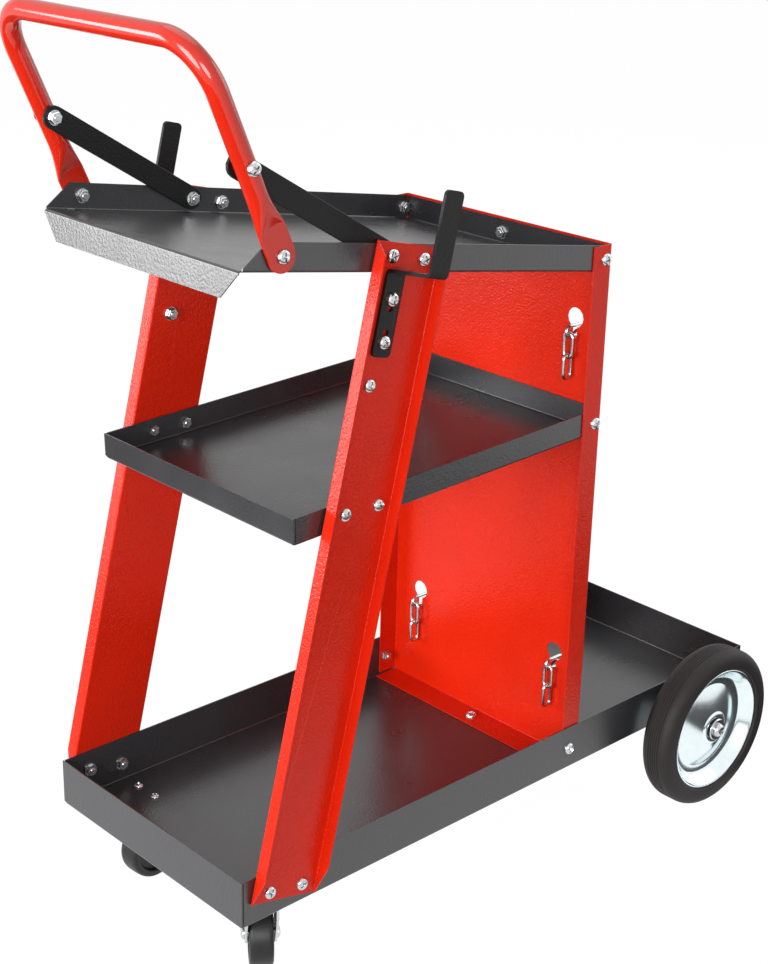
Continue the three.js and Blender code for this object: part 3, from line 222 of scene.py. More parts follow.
class Finish(Nodes):
    """A material: its nodes and its principled shader."""

    def __init__(self, name, **constants):
        self.material = bpy.data.materials.new(name)
        self.material.use_nodes = True
        super().__init__(self.material.node_tree)
        self.shader = self.tree.nodes["Principled BSDF"]
        self.where = self.add("TexCoord", output="Object")
        for label, value in constants.items():
            self.set(label, value)

    def set(self, label, value):
        """Feeds an input of the shader, such as base_color, with a number, a colour or a value."""
        name = label.replace("_", " ").title().replace("Ior", "IOR")
        feed(self.tree, self.shader.inputs[name], value)

    def noise(self, size, detail=2.0):
        """Cloudy noise with spots of about `size` metres."""
        inputs = {"Vector": self.where, "Scale": 1 / size, "Detail": detail}
        return self.add("TexNoise", inputs=inputs)

    def drift(self, cloud, paint, darker, lighter, rough, spread):
        """Lets the colour and the roughness drift over the piece with a noise."""
        self.set("base_color", self.mix(cloud, shade(paint, darker), shade(paint, lighter)))
        self.set("roughness", rough + (cloud - NOISE_MIDDLE) * spread)

    def bump(self, height, depth):
        """Feeds the shader's normal from a height between 0 and 1, worth `depth` metres."""
        inputs = {"Height": height, "Distance": depth, "Strength": 1.0}
        self.set("normal", self.add("Bump", inputs=inputs))


def shade(paint, share):
    """A paint colour made lighter or darker, with full alpha."""
    return (*(min(channel * share, 1) for channel in paint), 1)


def hammertone(name, paint, specular, rough, grain, depth):
    """Paint that draws up into small dimples as it dries."""
    finish = Finish(name, specular_ior_level=specular)
    dimples = finish.noise(grain, detail=0.5)
    cloud = finish.noise(size=grain * 20, detail=3.0)
    finish.drift(cloud, paint, darker=0.85, lighter=1.15, rough=rough, spread=0.14)
    finish.bump(dimples, depth)
    return finish.material


def powder_coat(name, paint, rough, grain, depth):
    """Paint with a leathery skin."""
    finish = Finish(name, specular_ior_level=0.24)
    folds = finish.noise(grain, detail=0.5)
    cloud = finish.noise(size=grain * 30, detail=3.0)
    finish.drift(cloud, paint, darker=0.9, lighter=1.1, rough=rough, spread=0.16)
    finish.bump(folds, depth)
    return finish.material


def tube_paint(name, paint):
    """Smooth glossy paint, darkened to about 0.8 of its colour: painted shade."""
    finish = Finish(name, specular_ior_level=0.6)
    cloud = finish.noise(size=60 * MM)
    # 0.76 to 0.84 of the paint: painted shade over the whole tube, with a little random drift of tone.
    finish.drift(cloud, paint, darker=0.76, lighter=0.84, rough=0.13, spread=0.06)
    return finish.material


def plated(name, paint, rough):
    """Zinc plate, a little cloudy."""
    finish = Finish(name, metallic=1.0)
    cloud = finish.noise(size=9 * MM, detail=4.0)
    finish.drift(cloud, paint, darker=0.95, lighter=1.05, rough=rough, spread=0.08)
    return finish.material


def moulded(name, paint, rough, grain):
    """Rubber or plastic as it leaves the mould."""
    finish = Finish(name, specular_ior_level=0.35)
    cloud = finish.noise(size=14 * MM, detail=4.0)
    skin = finish.noise(grain)
    finish.drift(cloud, paint, darker=0.8, lighter=1.25, rough=rough, spread=0.16)
    finish.bump(skin, depth=0.05 * MM)
    return finish.material


def finish_of(slot):
    """The cart's finish of that name, made when it is first asked for."""
    paints = bpy.context.scene.cart_finishes
    name = slot + "_finish"
    makers = {
        "charcoal_paint": lambda: hammertone(
            name, paints.charcoal, specular=1.0, rough=0.29, grain=2.4 * MM, depth=0.15 * MM
        ),
        "red_paint": lambda: powder_coat(name, paints.red, rough=0.27, grain=2.0 * MM, depth=0.34 * MM),
        "shaded_red_tube_paint": lambda: tube_paint(name, paints.red),
        "black_paint": lambda: hammertone(
            name, paints.black, specular=0.22, rough=0.4, grain=2.2 * MM, depth=0.2 * MM
        ),
        "zinc": lambda: plated(name, paints.zinc, rough=0.22),
        "bright_zinc": lambda: plated(name, paints.bright_zinc, rough=0.16),
        "tyre_rubber": lambda: moulded(name, paints.rubber, rough=0.62, grain=1.4 * MM),
        "black_plastic": lambda: moulded(name, paints.plastic, rough=0.42, grain=1.1 * MM),
    }
    return bpy.data.materials.get(name) or makers[slot]()


def bridge(builder, low, high):
    """Faces between two rings of vertices, of which one may be a single vertex."""
    steps = max(len(low), len(high))
    for step in range(steps):
        after = (step + 1) % steps
        corners = [low[step % len(low)], low[after % len(low)]]
        corners += [high[after % len(high)], high[step % len(high)]]
        builder.faces.new(list(dict.fromkeys(corners)))


def turned(builder, profile, place, steps=SMALL_STEPS):
    """Turns (radius, height) points about the Z axis of a place, to a ring where they start off it."""
    rings = []
    for radius, height in profile:
        count = steps if radius > 0 else 1
        angles = [math.tau * step / steps for step in range(count)]
        points = [Vector((radius * math.cos(angle), radius * math.sin(angle), height)) for angle in angles]
        rings.append([builder.verts.new(place @ point) for point in points])
    is_ring = profile[0][0] > 0
    following = rings[1:] + rings[:1] if is_ring else rings[1:]
    for low, high in zip(rings, following):
        bridge(builder, low, high)


def loft(builder, rings, looped=False):
    """A skin through rings of points, with flat ends unless it is looped."""
    made = [[builder.verts.new(point) for point in ring] for ring in rings]
    following = made[1:] + made[:1] if looped else made[1:]
    for low, high in zip(made, following):
        bridge(builder, low, high)
    if not looped:
        builder.faces.new(made[0])
        builder.faces.new(made[-1])


def rounded(points, radius, steps=5):
    """An open run of 2D points with its inner corners eased by curves that start `radius` from them."""
    run = [Vector(point) for point in points]
    eased = [run[0]]
    for before, corner, after in zip(run, run[1:], run[2:]):
        reach_in = min(radius, (before - corner).length / 2)
        reach_out = min(radius, (after - corner).length / 2)
        start = corner + (before - corner).normalized() * reach_in
        end = corner + (after - corner).normalized() * reach_out
        for step in range(steps + 1):
            share = step / steps
            eased.append(start.lerp(corner, share).lerp(corner.lerp(end, share), share))
    eased.append(run[-1])
    return [tuple(point) for point in eased]


def facing(point, normal, spin=0.0):
    """A place whose Z axis points along a normal."""
    turn = Vector(normal).to_track_quat("Z", "Y").to_matrix().to_4x4()
    return Matrix.Translation(point) @ turn @ Matrix.Rotation(spin, 4, "Z")


def stamp(builder, mesh, place):
    """Adds a copy of a mesh at a place."""
    kept = len(builder.verts)
    builder.from_mesh(mesh)
    builder.verts.ensure_lookup_table()
    for vertex in builder.verts[kept:]:
        vertex.co = place @ vertex.co


def below(point):
    """The place on the floor under a point."""
    return Matrix.Translation((point.x, point.y, 0))


def rectangle(low, high):
    """The corners of a rectangle, from its lowest and its highest."""
    return [low, (high[0], low[1]), high, (low[0], high[1])]


def plain_object(name, builder):
    """An object in the scene, made of what a builder holds."""
    mesh = bpy.data.meshes.new(name)
    builder.to_mesh(mesh)
    builder.free()
    made = bpy.data.objects.new(name, mesh)
    bpy.context.scene.collection.objects.link(made)
    return made


def settle(name, builder, slot, body=FRAME_BODY, nodes=(), finish=None, soft_edge=0.0):
    """Turns a builder into a piece of the cart that rides on a body."""
    bmesh.ops.recalc_face_normals(builder, faces=builder.faces)
    piece = plain_object(name, builder)
    mesh = piece.data
    mesh.polygons.foreach_set("use_smooth", [True] * len(mesh.polygons))
    mesh.set_sharp_from_angle(angle=SHARP_ANGLE)
    mesh.materials.append(finish_of(finish or slot))
    if soft_edge:
        soften(piece, soft_edge)
    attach(piece, body)
    if nodes:
        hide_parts(*nodes)


def turned_piece(name, profile, place, slot, body=FRAME_BODY, nodes=(), finish=None, steps=SMALL_STEPS):
    """A piece of the cart that is turned about the Z axis of a place."""
    builder = bmesh.new()
    turned(builder, profile, place, steps)
    settle(name, builder, slot, body, nodes, finish)


def soften(piece, radius):
    """Rounds a piece's sharp edges."""
    bevel = piece.modifiers.new("soft_edges", "BEVEL")
    bevel.width = radius
    bevel.segments = BEVEL_STEPS
    bevel.limit_method = "ANGLE"
    bevel.angle_limit = BEVEL_ANGLE


def middle(node):
    """The middle of a CAD node's box."""
    low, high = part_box(node)
    return (low + high) / 2


class CART_OT_sheets(bpy.types.Operator):
    """Paints the tray, the shelves, the panel, the legs and the bars, and softens their edges"""

    bl_idname = "cart.sheets"
    bl_label = "Sheets and bars"

    def execute(self, context):
        sizes = context.scene.cart_sizes
        painted = {
            "charcoal_paint": ["bottom_tray", "middle_shelf", "top_shelf"],
            "red_paint": ["back_panel", "right_leg", "left_leg"],
            "black_paint": [f"{side}_{bar}" for side in SIDES for bar in ("handle_brace", "torch_hook")],
            "zinc": [f"{side}_{plate}" for side in SIDES for plate in ("axle_strap", "caster_plate")],
        }
        for slot, nodes in painted.items():
            for node in nodes:
                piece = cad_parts[node]
                piece.data.materials.clear()
                piece.data.materials.append(finish_of(slot))
                weld = piece.modifiers.new("weld", "WELD")
                weld.merge_threshold = WELD_REACH
                soften(piece, sizes.soft_edge)
        return {"FINISHED"}


class CART_OT_handle(bpy.types.Operator):
    """Makes the push handle: a bent tube with ends pressed flat"""

    bl_idname = "cart.handle"
    bl_label = "Push handle"

    lean = math.radians(24.1)  # from upright, towards whoever pushes
    sides = 48
    elbow_steps = 24
    run_steps = 44
    end_steps = 8
    square = 0.3  # exponent of the tongue's section, where 1 is round

    def execute(self, context):
        sizes = context.scene.cart_sizes
        bolt = middle("right_handle_bolt")
        up = Vector((-math.sin(self.lean), 0, math.cos(self.lean)))
        across = LEFT.cross(up)
        tube = sizes.tube / 2
        tube_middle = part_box("handle_tube")[1].y - tube
        flat_half = sizes.tongue_width / 2
        flat_depth = sizes.tongue_thickness / 2
        tongue_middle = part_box("top_shelf")[1].y + sizes.gap + flat_depth

        def share_at(reach, sideways):
            early = sizes.tongue_crease * abs(sideways)
            share = (reach - sizes.tongue_length + early) / (sizes.tongue_run + early)
            return math.sin(math.pi / 2 * min(max(share, 0), 1))

        def at(reach, y):
            return Vector((bolt.x, y, bolt.z)) + up * reach

        def ring(reach, width_limit):
            """A section between the tongue's end and the round tube, on the right side."""
            points = []
            for step in range(self.sides):
                angle = math.tau * (step + 0.5) / self.sides
                share = share_at(reach, math.cos(angle))
                power = self.square + (1 - self.square) * share
                width = min(flat_half + (tube - flat_half) * share, width_limit)
                depth = flat_depth + (tube - flat_depth) * share
                sideways = math.copysign(abs(math.cos(angle)) ** power, math.cos(angle))
                outward = math.copysign(abs(math.sin(angle)) ** power, math.sin(angle))
                middle_y = tongue_middle + (tube_middle - tongue_middle) * share
                y = -middle_y - depth * outward
                points.append(at(reach, y) + across * width * sideways)
            return points

        half = []
        for step in range(self.end_steps):
            turn = math.pi / 2 * step / self.end_steps
            limit = max(flat_half * math.sin(turn), flat_depth)
            half.append(ring(-flat_half * math.cos(turn), limit))
        for step in range(self.run_steps + 1):
            reach = (sizes.tongue_length + sizes.tongue_run) * step / self.run_steps
            half.append(ring(reach, flat_half))
        bar_half = tube_middle - sizes.handle_bend
        straight = sizes.handle_reach - sizes.handle_bend
        for step in range(self.elbow_steps + 1):
            turn = math.pi / 2 * step / self.elbow_steps
            rise = straight + sizes.handle_bend * math.sin(turn)
            centre = at(rise, -bar_half - sizes.handle_bend * math.cos(turn))
            outward = Vector((0, -math.cos(turn), 0)) + up * math.sin(turn)
            points = []
            for side in range(self.sides):
                angle = math.tau * (side + 0.5) / self.sides
                points.append(centre + (across * math.cos(angle) + outward * math.sin(angle)) * tube)
            half.append(points)
        mirrored = [[Vector((point.x, -point.y, point.z)) for point in points] for points in half]
        builder = bmesh.new()
        loft(builder, half + mirrored[::-1])
        # The tube's finish is the red paint darkened: painted shade.
        settle("push_handle", builder, "red_paint", nodes=["handle_tube"], finish="shaded_red_tube_paint")
        return {"FINISHED"}


class CART_OT_wheels(bpy.types.Operator):
    """Makes the rear wheels: ribbed tyres, stamped discs, bushes and what holds them on the axle"""

    bl_idname = "cart.wheels"
    bl_label = "Rear wheels"

    ribs = 5
    shoulder_steps = 10
    # Bead of a tyre: out from the rim and in from the sidewall, in millimetres.
    bead_profile = ((0, 6), (0, 2), (1.2, 0.4), (4, 0))
    # Groove between two ribs: shares of their depth, and across it of their pitch.
    groove_profile = ((0, 0.24), (1, 0.1), (1, -0.1), (0, -0.24))
    root_rise = 4.5 * MM  # of a tyre's root, from where the discs meet
    root_half = 0.8 * MM
    # Disc at its rim: in from the rim and down from its lip, in millimetres.
    rim_profile = ((0, 3), (0, 0.3), (2.6, 0), (6, 4))
    # Disc at its well: out from the well's radius, and height, in millimetres.
    well_profile = ((3, 3.4), (-5, 1.8), (-18, 4.2))
    boss_slope = 6 * MM  # how far the disc slopes up to its boss
    boss_foot = 9.2 * MM  # height where that slope starts
    disc_easing = 3 * MM
    collar_length = 8 * MM
    collar_edge = 0.6 * MM
    washer_sheet = 1.6 * MM
    washer_edge = 0.5 * MM
    hub_head_rise = 5 * MM
    axle_edge = 0.8 * MM

    def execute(self, context):
        sizes = context.scene.cart_sizes
        for side, sign in SIDES.items():
            hub = facing(middle(f"{side}_tyre"), (0, sign, 0), math.pi / 2)
            inward = hub @ Matrix.Rotation(math.pi, 4, "X")
            self.tyre(side, hub, sizes)
            for face, place in (("outer", hub), ("inner", inward)):
                self.disc(side, face, place, sizes)
            self.bush(side, hub, sizes)
            self.fixings(side, hub, sizes)
        self.axle(sizes)
        return {"FINISHED"}

    def tyre(self, side, hub, sizes):
        half = sizes.tyre_width / 2
        tread = half - sizes.tyre_shoulder
        bead = sizes.rim_radius + sizes.gap
        crown = sizes.wheel_radius
        shoulder = []
        for step in range(self.shoulder_steps + 1):
            turn = math.pi / 2 * step / self.shoulder_steps
            lift = sizes.tyre_shoulder * math.cos(turn)
            radius = crown - sizes.tyre_shoulder + sizes.tyre_shoulder * math.sin(turn)
            shoulder.append((radius, tread + lift))
        outer = [(bead + out * MM, half - back * MM) for out, back in self.bead_profile] + shoulder
        ribs = []
        pitch = 2 * tread / self.ribs
        for rib in range(self.ribs):
            centre = tread - pitch * (rib + 0.5)
            for depth, across in self.groove_profile:
                ribs.append((crown - sizes.rib_depth * depth, centre + pitch * across))
        inner = [(radius, -height) for radius, height in reversed(outer)]
        root = [(sizes.well_radius + self.root_rise, way * self.root_half) for way in (-1, 1)]
        profile = outer + ribs + inner + root
        name = f"{side}_ribbed_tyre"
        body = f"{side}_wheel"
        turned_piece(name, profile, hub, "tyre_rubber", body, [f"{side}_tyre"], steps=SMOOTH_STEPS)

    def disc(self, side, face, place, sizes):
        rim = sizes.rim_radius
        lip = sizes.rim_half
        well = sizes.well_radius
        boss = sizes.boss_radius
        bore = sizes.bush_radius + sizes.gap
        top = sizes.hub_half - sizes.disc_sheet
        shown = [(rim - inward * MM, lip - down * MM) for inward, down in self.rim_profile]
        shown += [(well + out * MM, height * MM) for out, height in self.well_profile]
        shown += [(boss + self.boss_slope, self.boss_foot), (boss, top), (bore, top)]
        eased = rounded(shown, self.disc_easing)
        hidden = [
            (bore, top - sizes.disc_sheet),
            (boss + sizes.disc_sheet, top - sizes.disc_sheet),
            (well, sizes.gap / 2),
        ]
        profile = eased + hidden
        node = f"{side}_{face}_disc"
        name = f"{node}_pressing"
        turned_piece(name, profile, place, "zinc", f"{side}_wheel", [node], "bright_zinc", SMOOTH_STEPS)

    def bush(self, side, hub, sizes):
        bore = sizes.axle_radius + sizes.gap
        end = sizes.hub_half
        profile = [(bore, -end), (sizes.bush_radius, -end), (sizes.bush_radius, end), (bore, end)]
        turned_piece(f"{side}_bush", profile, hub, "black_plastic", f"{side}_wheel", [f"{side}_hub_bush"])

    def fixings(self, side, hub, sizes):
        bore = sizes.axle_radius + sizes.gap
        top = -sizes.hub_half - sizes.gap
        foot = top - self.collar_length
        edge = self.collar_edge
        collar = sizes.collar_radius
        profile = [(bore, foot), (collar - edge, foot), (collar, foot + edge), (collar, top - edge)]
        profile += [(collar - edge, top), (bore, top)]
        turned_piece(f"{side}_collar", profile, hub, "zinc", nodes=[f"{side}_axle_collar"])
        foot = sizes.hub_half + 2 * sizes.gap
        top = foot + self.washer_sheet
        edge = self.washer_edge
        rim = sizes.washer_radius
        profile = [(0, foot), (rim, foot), (rim, top - edge), (rim - edge, top), (0, top)]
        turned_piece(f"{side}_washer", profile, hub, "zinc", nodes=[f"{side}_axle_washer"])
        builder = bmesh.new()
        head = pan_head(f"{side}_axle_head", sizes.axle_screw_radius, self.hub_head_rise)
        stamp(builder, head, hub @ Matrix.Translation((0, 0, top + sizes.gap)))
        settle(f"{side}_hub_screw", builder, "zinc", nodes=[f"{side}_axle_screw"])

    def axle(self, sizes):
        low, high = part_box("wheel_axle")
        radius = sizes.axle_radius
        edge = self.axle_edge
        end = (high.y - low.y) / 2
        profile = [(0, -end), (radius - edge, -end), (radius, edge - end)]
        profile += [(along, -height) for along, height in reversed(profile)]
        turned_piece("rear_axle", profile, facing((low + high) / 2, LEFT), "zinc", nodes=["wheel_axle"])


def pan_head(name, radius, rise):
    """The mesh of a pan head with a cross recess, its seat on the plane z = 0."""
    dome_steps = 8
    fullness = 0.5  # exponent of the dome's outline, where 1 is a plain arch
    arm = radius * 0.6  # of the cross, from its middle
    slit = radius * 0.13  # half an arm's width
    # The recess's floor: shares of the cross's outline and of the head's rise.
    floor_x, floor_y, floor_rise = 0.55, 0.8, 0.35
    past = 1.1  # the cutter's mouth, of the cross and of the rise
    domed = []
    for step in range(dome_steps + 1):
        turn = math.pi / 2 * step / dome_steps
        across = math.cos(turn) ** fullness if step < dome_steps else 0
        domed.append((radius * across, rise * math.sin(turn)))
    builder = bmesh.new()
    turned(builder, [(0, 0)] + domed, Matrix.Identity(4), HEAD_STEPS)
    bmesh.ops.recalc_face_normals(builder, faces=builder.faces)
    head = plain_object(name, builder)
    corners = [(arm, -slit), (arm, slit), (slit, slit), (slit, arm), (-slit, arm), (-slit, slit)]
    corners += [(-x, -y) for x, y in corners]
    cutter = bmesh.new()
    floor = [Vector((x * floor_x, y * floor_y, rise * floor_rise)) for x, y in corners]
    mouth = [Vector((x * past, y * past, rise * past)) for x, y in corners]
    loft(cutter, [floor, mouth])
    bmesh.ops.recalc_face_normals(cutter, faces=cutter.faces)
    cross = plain_object(name + "_cross", cutter)
    recess = head.modifiers.new("recess", "BOOLEAN")
    recess.object = cross
    recess.operation = "DIFFERENCE"
    recess.solver = "EXACT"
    graph = bpy.context.evaluated_depsgraph_get()
    mesh = bpy.data.meshes.new_from_object(head.evaluated_get(graph))
    bpy.data.objects.remove(head)
    bpy.data.objects.remove(cross)
    return mesh


class CART_OT_casters(bpy.types.Operator):
    """Makes the casters: wheels, forks, rivets, races and kingpins"""

    bl_idname = "cart.casters"
    bl_label = "Casters"

    hub_share = 1.5  # of the rivet heads' radius
    web_share = 0.6  # of the wheel's half width
    dish_share = 0.72  # of the wheel's radius
    dish_slope = 1 * MM
    # Edge of the tread: in from the wheel's radius and from its side, in millimetres.
    tread_profile = ((1.5, 0.2), (0.2, 3.5))
    wheel_easing = 2.2 * MM
    # Head of a rivet: shares of its radius, and heights in millimetres.
    rivet_profile = ((0, 3), (0.6, 2.9), (1, 1.4), (1, 0))
    crown_edge = 1.2 * MM
    cheek_drop = 0.67  # of the cheek's straight front edge, as a share of the crown's radius
    cheek_start = 215  # where the cheek's round end starts, in degrees
    cheek_turn = 170
    cheek_steps = 14
    fork_soft_edge = 0.4 * MM
    race_easing = 1.5 * MM
    pin_head_height = 3 * MM
    pin_head_slope = 1.4 * MM
    pin_face_share = 0.75  # of the kingpin head's radius

    def execute(self, context):
        sizes = context.scene.cart_sizes
        for side in SIDES:
            swivel = middle(f"{side}_caster_race")
            wheel = middle(f"{side}_caster_wheel")
            trail = Vector((wheel.x - swivel.x, wheel.y - swivel.y, 0))
            along = trail.normalized()
            across = UP.cross(along)
            self.wheel(side, facing(wheel, across), sizes)
            self.rivet(side, facing(wheel, across), sizes)
            self.fork(side, swivel, along, across, trail.length, wheel.z, sizes)
            self.race(side, swivel, sizes)
            self.kingpin(side, swivel, sizes)
        return {"FINISHED"}

    def wheel(self, side, place, sizes):
        radius = sizes.caster_radius
        half = sizes.caster_width / 2
        bore = sizes.caster_axle_radius + sizes.gap
        hub = sizes.caster_axle_head * self.hub_share
        web = half * self.web_share
        dish = radius * self.dish_share
        slope = self.dish_slope
        outer = [(bore, half), (hub, half), (hub + slope, web), (dish, web), (dish + slope, half)]
        outer += [(radius - inward * MM, half - down * MM) for inward, down in self.tread_profile]
        outer.append((radius, 0))
        eased = rounded(outer, self.wheel_easing)
        profile = eased + [(along, -height) for along, height in reversed(eased[:-1])]
        name = f"{side}_roller"
        body = f"{side}_caster_roller"
        nodes = [f"{side}_caster_wheel"]
        turned_piece(name, profile, place, "black_plastic", body, nodes, steps=SMOOTH_STEPS)

    def rivet(self, side, place, sizes):
        reach = sizes.caster_width / 2 + sizes.caster_clearance + sizes.fork_sheet + sizes.gap
        head = sizes.caster_axle_head
        end = [(head * share, reach + height * MM) for share, height in self.rivet_profile]
        end.append((sizes.caster_axle_radius, reach))
        profile = end + [(along, -height) for along, height in reversed(end)]
        turned_piece(f"{side}_rivet", profile, place, "zinc", f"{side}_caster", [f"{side}_caster_axle"])

    def fork(self, side, swivel, along, across, trail, axle_height, sizes):
        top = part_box(f"{side}_caster_fork")[1].z
        crown = sizes.crown_radius
        foot = top - sizes.fork_sheet
        pin = sizes.kingpin_radius + sizes.gap
        builder = bmesh.new()
        centre = below(swivel)
        edge = self.crown_edge
        profile = [(pin, foot), (crown, foot), (crown, top - edge), (crown - edge, top), (pin, top)]
        turned(builder, profile, centre)
        inside = sizes.caster_width / 2 + sizes.caster_clearance
        outside = inside + sizes.fork_sheet
        shoulder = math.sqrt(crown**2 - outside**2)
        outline = [(-shoulder, top - edge), (-shoulder, top - crown * self.cheek_drop)]
        for step in range(self.cheek_steps + 1):
            angle = math.radians(self.cheek_start + self.cheek_turn * step / self.cheek_steps)
            x = trail + sizes.cheek_end * math.cos(angle)
            outline.append((x, axle_height + sizes.cheek_end * math.sin(angle)))
        outline.append((shoulder + sizes.fork_sheet, top - edge))
        for sign in SIDES.values():
            rings = []
            for distance in (inside, outside):
                base = centre.translation + across * sign * distance
                rings.append([base + along * x + UP * z for x, z in outline])
            loft(builder, rings)
        nodes = [f"{side}_caster_fork"]
        settle(f"{side}_fork", builder, "zinc", f"{side}_caster", nodes, soft_edge=self.fork_soft_edge)

    def race(self, side, swivel, sizes):
        low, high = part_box(f"{side}_caster_race")
        radius = (high.x - low.x) / 2
        pin = sizes.kingpin_radius + sizes.gap
        third = (high.z - low.z) / 3
        outline = [(pin, low.z), (radius - third, low.z), (radius, low.z + third), (radius, high.z - third)]
        outline += [(radius - third, high.z), (pin, high.z)]
        profile = rounded(outline, self.race_easing)
        turned_piece(f"{side}_ball_race", profile, below(swivel), "zinc", nodes=[f"{side}_caster_race"])

    def kingpin(self, side, swivel, sizes):
        low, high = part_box(f"{side}_caster_kingpin")
        neck = low.z + self.pin_head_height
        head = sizes.kingpin_head
        pin = sizes.kingpin_radius
        face = head * self.pin_face_share
        profile = [(0, low.z), (face, low.z), (head, low.z + self.pin_head_slope), (head, neck)]
        profile += [(pin, neck), (pin, high.z), (0, high.z)]
        turned_piece(f"{side}_swivel_pin", profile, below(swivel), "zinc", nodes=[f"{side}_caster_kingpin"])


class CART_OT_chains(bpy.types.Operator):
    """Makes the chains: links in the slots, the links that hang behind the panel and the swinging tails"""

    bl_idname = "cart.chains"
    bl_label = "Chains"

    span_links = 11
    keyhole_spacing = 198 * MM
    pitch = 22.07 * MM  # between the middles of neighbouring links
    wire_sides = 14
    end_steps = 12
    sag_rounds = 60  # to find the curve that the span hangs on
    seat_play = 1 * MM  # between the slot's link and the first of the span

    def execute(self, context):
        sizes = context.scene.cart_sizes
        for level in LEVELS:
            self.span(level, sizes)
            for side in SIDES:
                for number in (1, 2):
                    self.tail(level, side, number, sizes)
        return {"FINISHED"}

    def link(self, builder, place, reach, sizes):
        """A wire ring: its long way is the Z axis of the place, in the plane of Y and Z."""
        wire = sizes.link_wire / 2
        bend = sizes.link_width / 2 - wire
        rings = []
        for end in (1, -1):
            for step in range(self.end_steps + 1):
                turn = math.pi * step / self.end_steps + (0 if end > 0 else math.pi)
                outward = Vector((0, math.cos(turn), math.sin(turn)))
                centre = outward * bend + Vector((0, 0, end * (reach - bend)))
                points = []
                for side in range(self.wire_sides):
                    spin = math.tau * side / self.wire_sides
                    point = centre + (outward * math.cos(spin) + REAR * math.sin(spin)) * wire
                    points.append(place @ point)
                rings.append(points)
        loft(builder, rings, looped=True)

    def span(self, level, sizes):
        node = f"{level}_chain"
        low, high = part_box(node)
        wire = sizes.link_wire / 2
        slot_x = low.x + sizes.link_length / 2
        slot_z = high.z - sizes.link_width / 2
        hang_x = high.x - sizes.link_width / 2
        half_span = self.keyhole_spacing / 2
        builder = bmesh.new()
        # The place of a link that lies along X.
        lying = Matrix(((0, 0, 1, 0), (1, 0, 0, 0), (0, 1, 0, 0), (0, 0, 0, 1)))
        for sign in SIDES.values():
            place = Matrix.Translation((slot_x, sign * half_span, slot_z)) @ lying
            self.link(builder, place, sizes.link_length / 2 - wire, sizes)
        run = self.span_links * self.pitch
        share = 1.0
        for _ in range(self.sag_rounds):
            share = math.asinh(run / self.keyhole_spacing * share)
        scale = half_span / share
        seat = slot_z - sizes.link_width / 2 + wire + self.seat_play

        def hang(distance):
            y = scale * math.asinh(distance / scale)
            return Vector((hang_x, y, seat + scale * (math.cosh(y / scale) - math.cosh(share))))

        for number in range(self.span_links):
            start = hang(number * self.pitch - run / 2)
            end = hang((number + 1) * self.pitch - run / 2)
            along = (end - start).normalized()
            across = along.cross(REAR)
            axes = (REAR, across, along) if number % 2 == 0 else (across, -REAR, along)
            place = Matrix(axes).transposed().to_4x4()
            place.translation = (start + end) / 2
            self.link(builder, place, self.pitch / 2 + wire, sizes)
        settle(f"{level}_chain_span", builder, "zinc", nodes=[node])

    def tail(self, level, side, number, sizes):
        node = f"{level}_{side}_tail_link_{number}"
        place = Matrix.Translation(middle(node))
        if number == 2:
            place = place @ Matrix.Rotation(math.pi / 2, 4, "Z")
        builder = bmesh.new()
        self.link(builder, place, sizes.link_length / 2 - sizes.link_wire / 2, sizes)
        order = "first" if number == 1 else "last"
        body = f"{level}_{side}_{order}_link"
        settle(f"{level}_{side}_{order}_tail_link", builder, "zinc", body, [node])


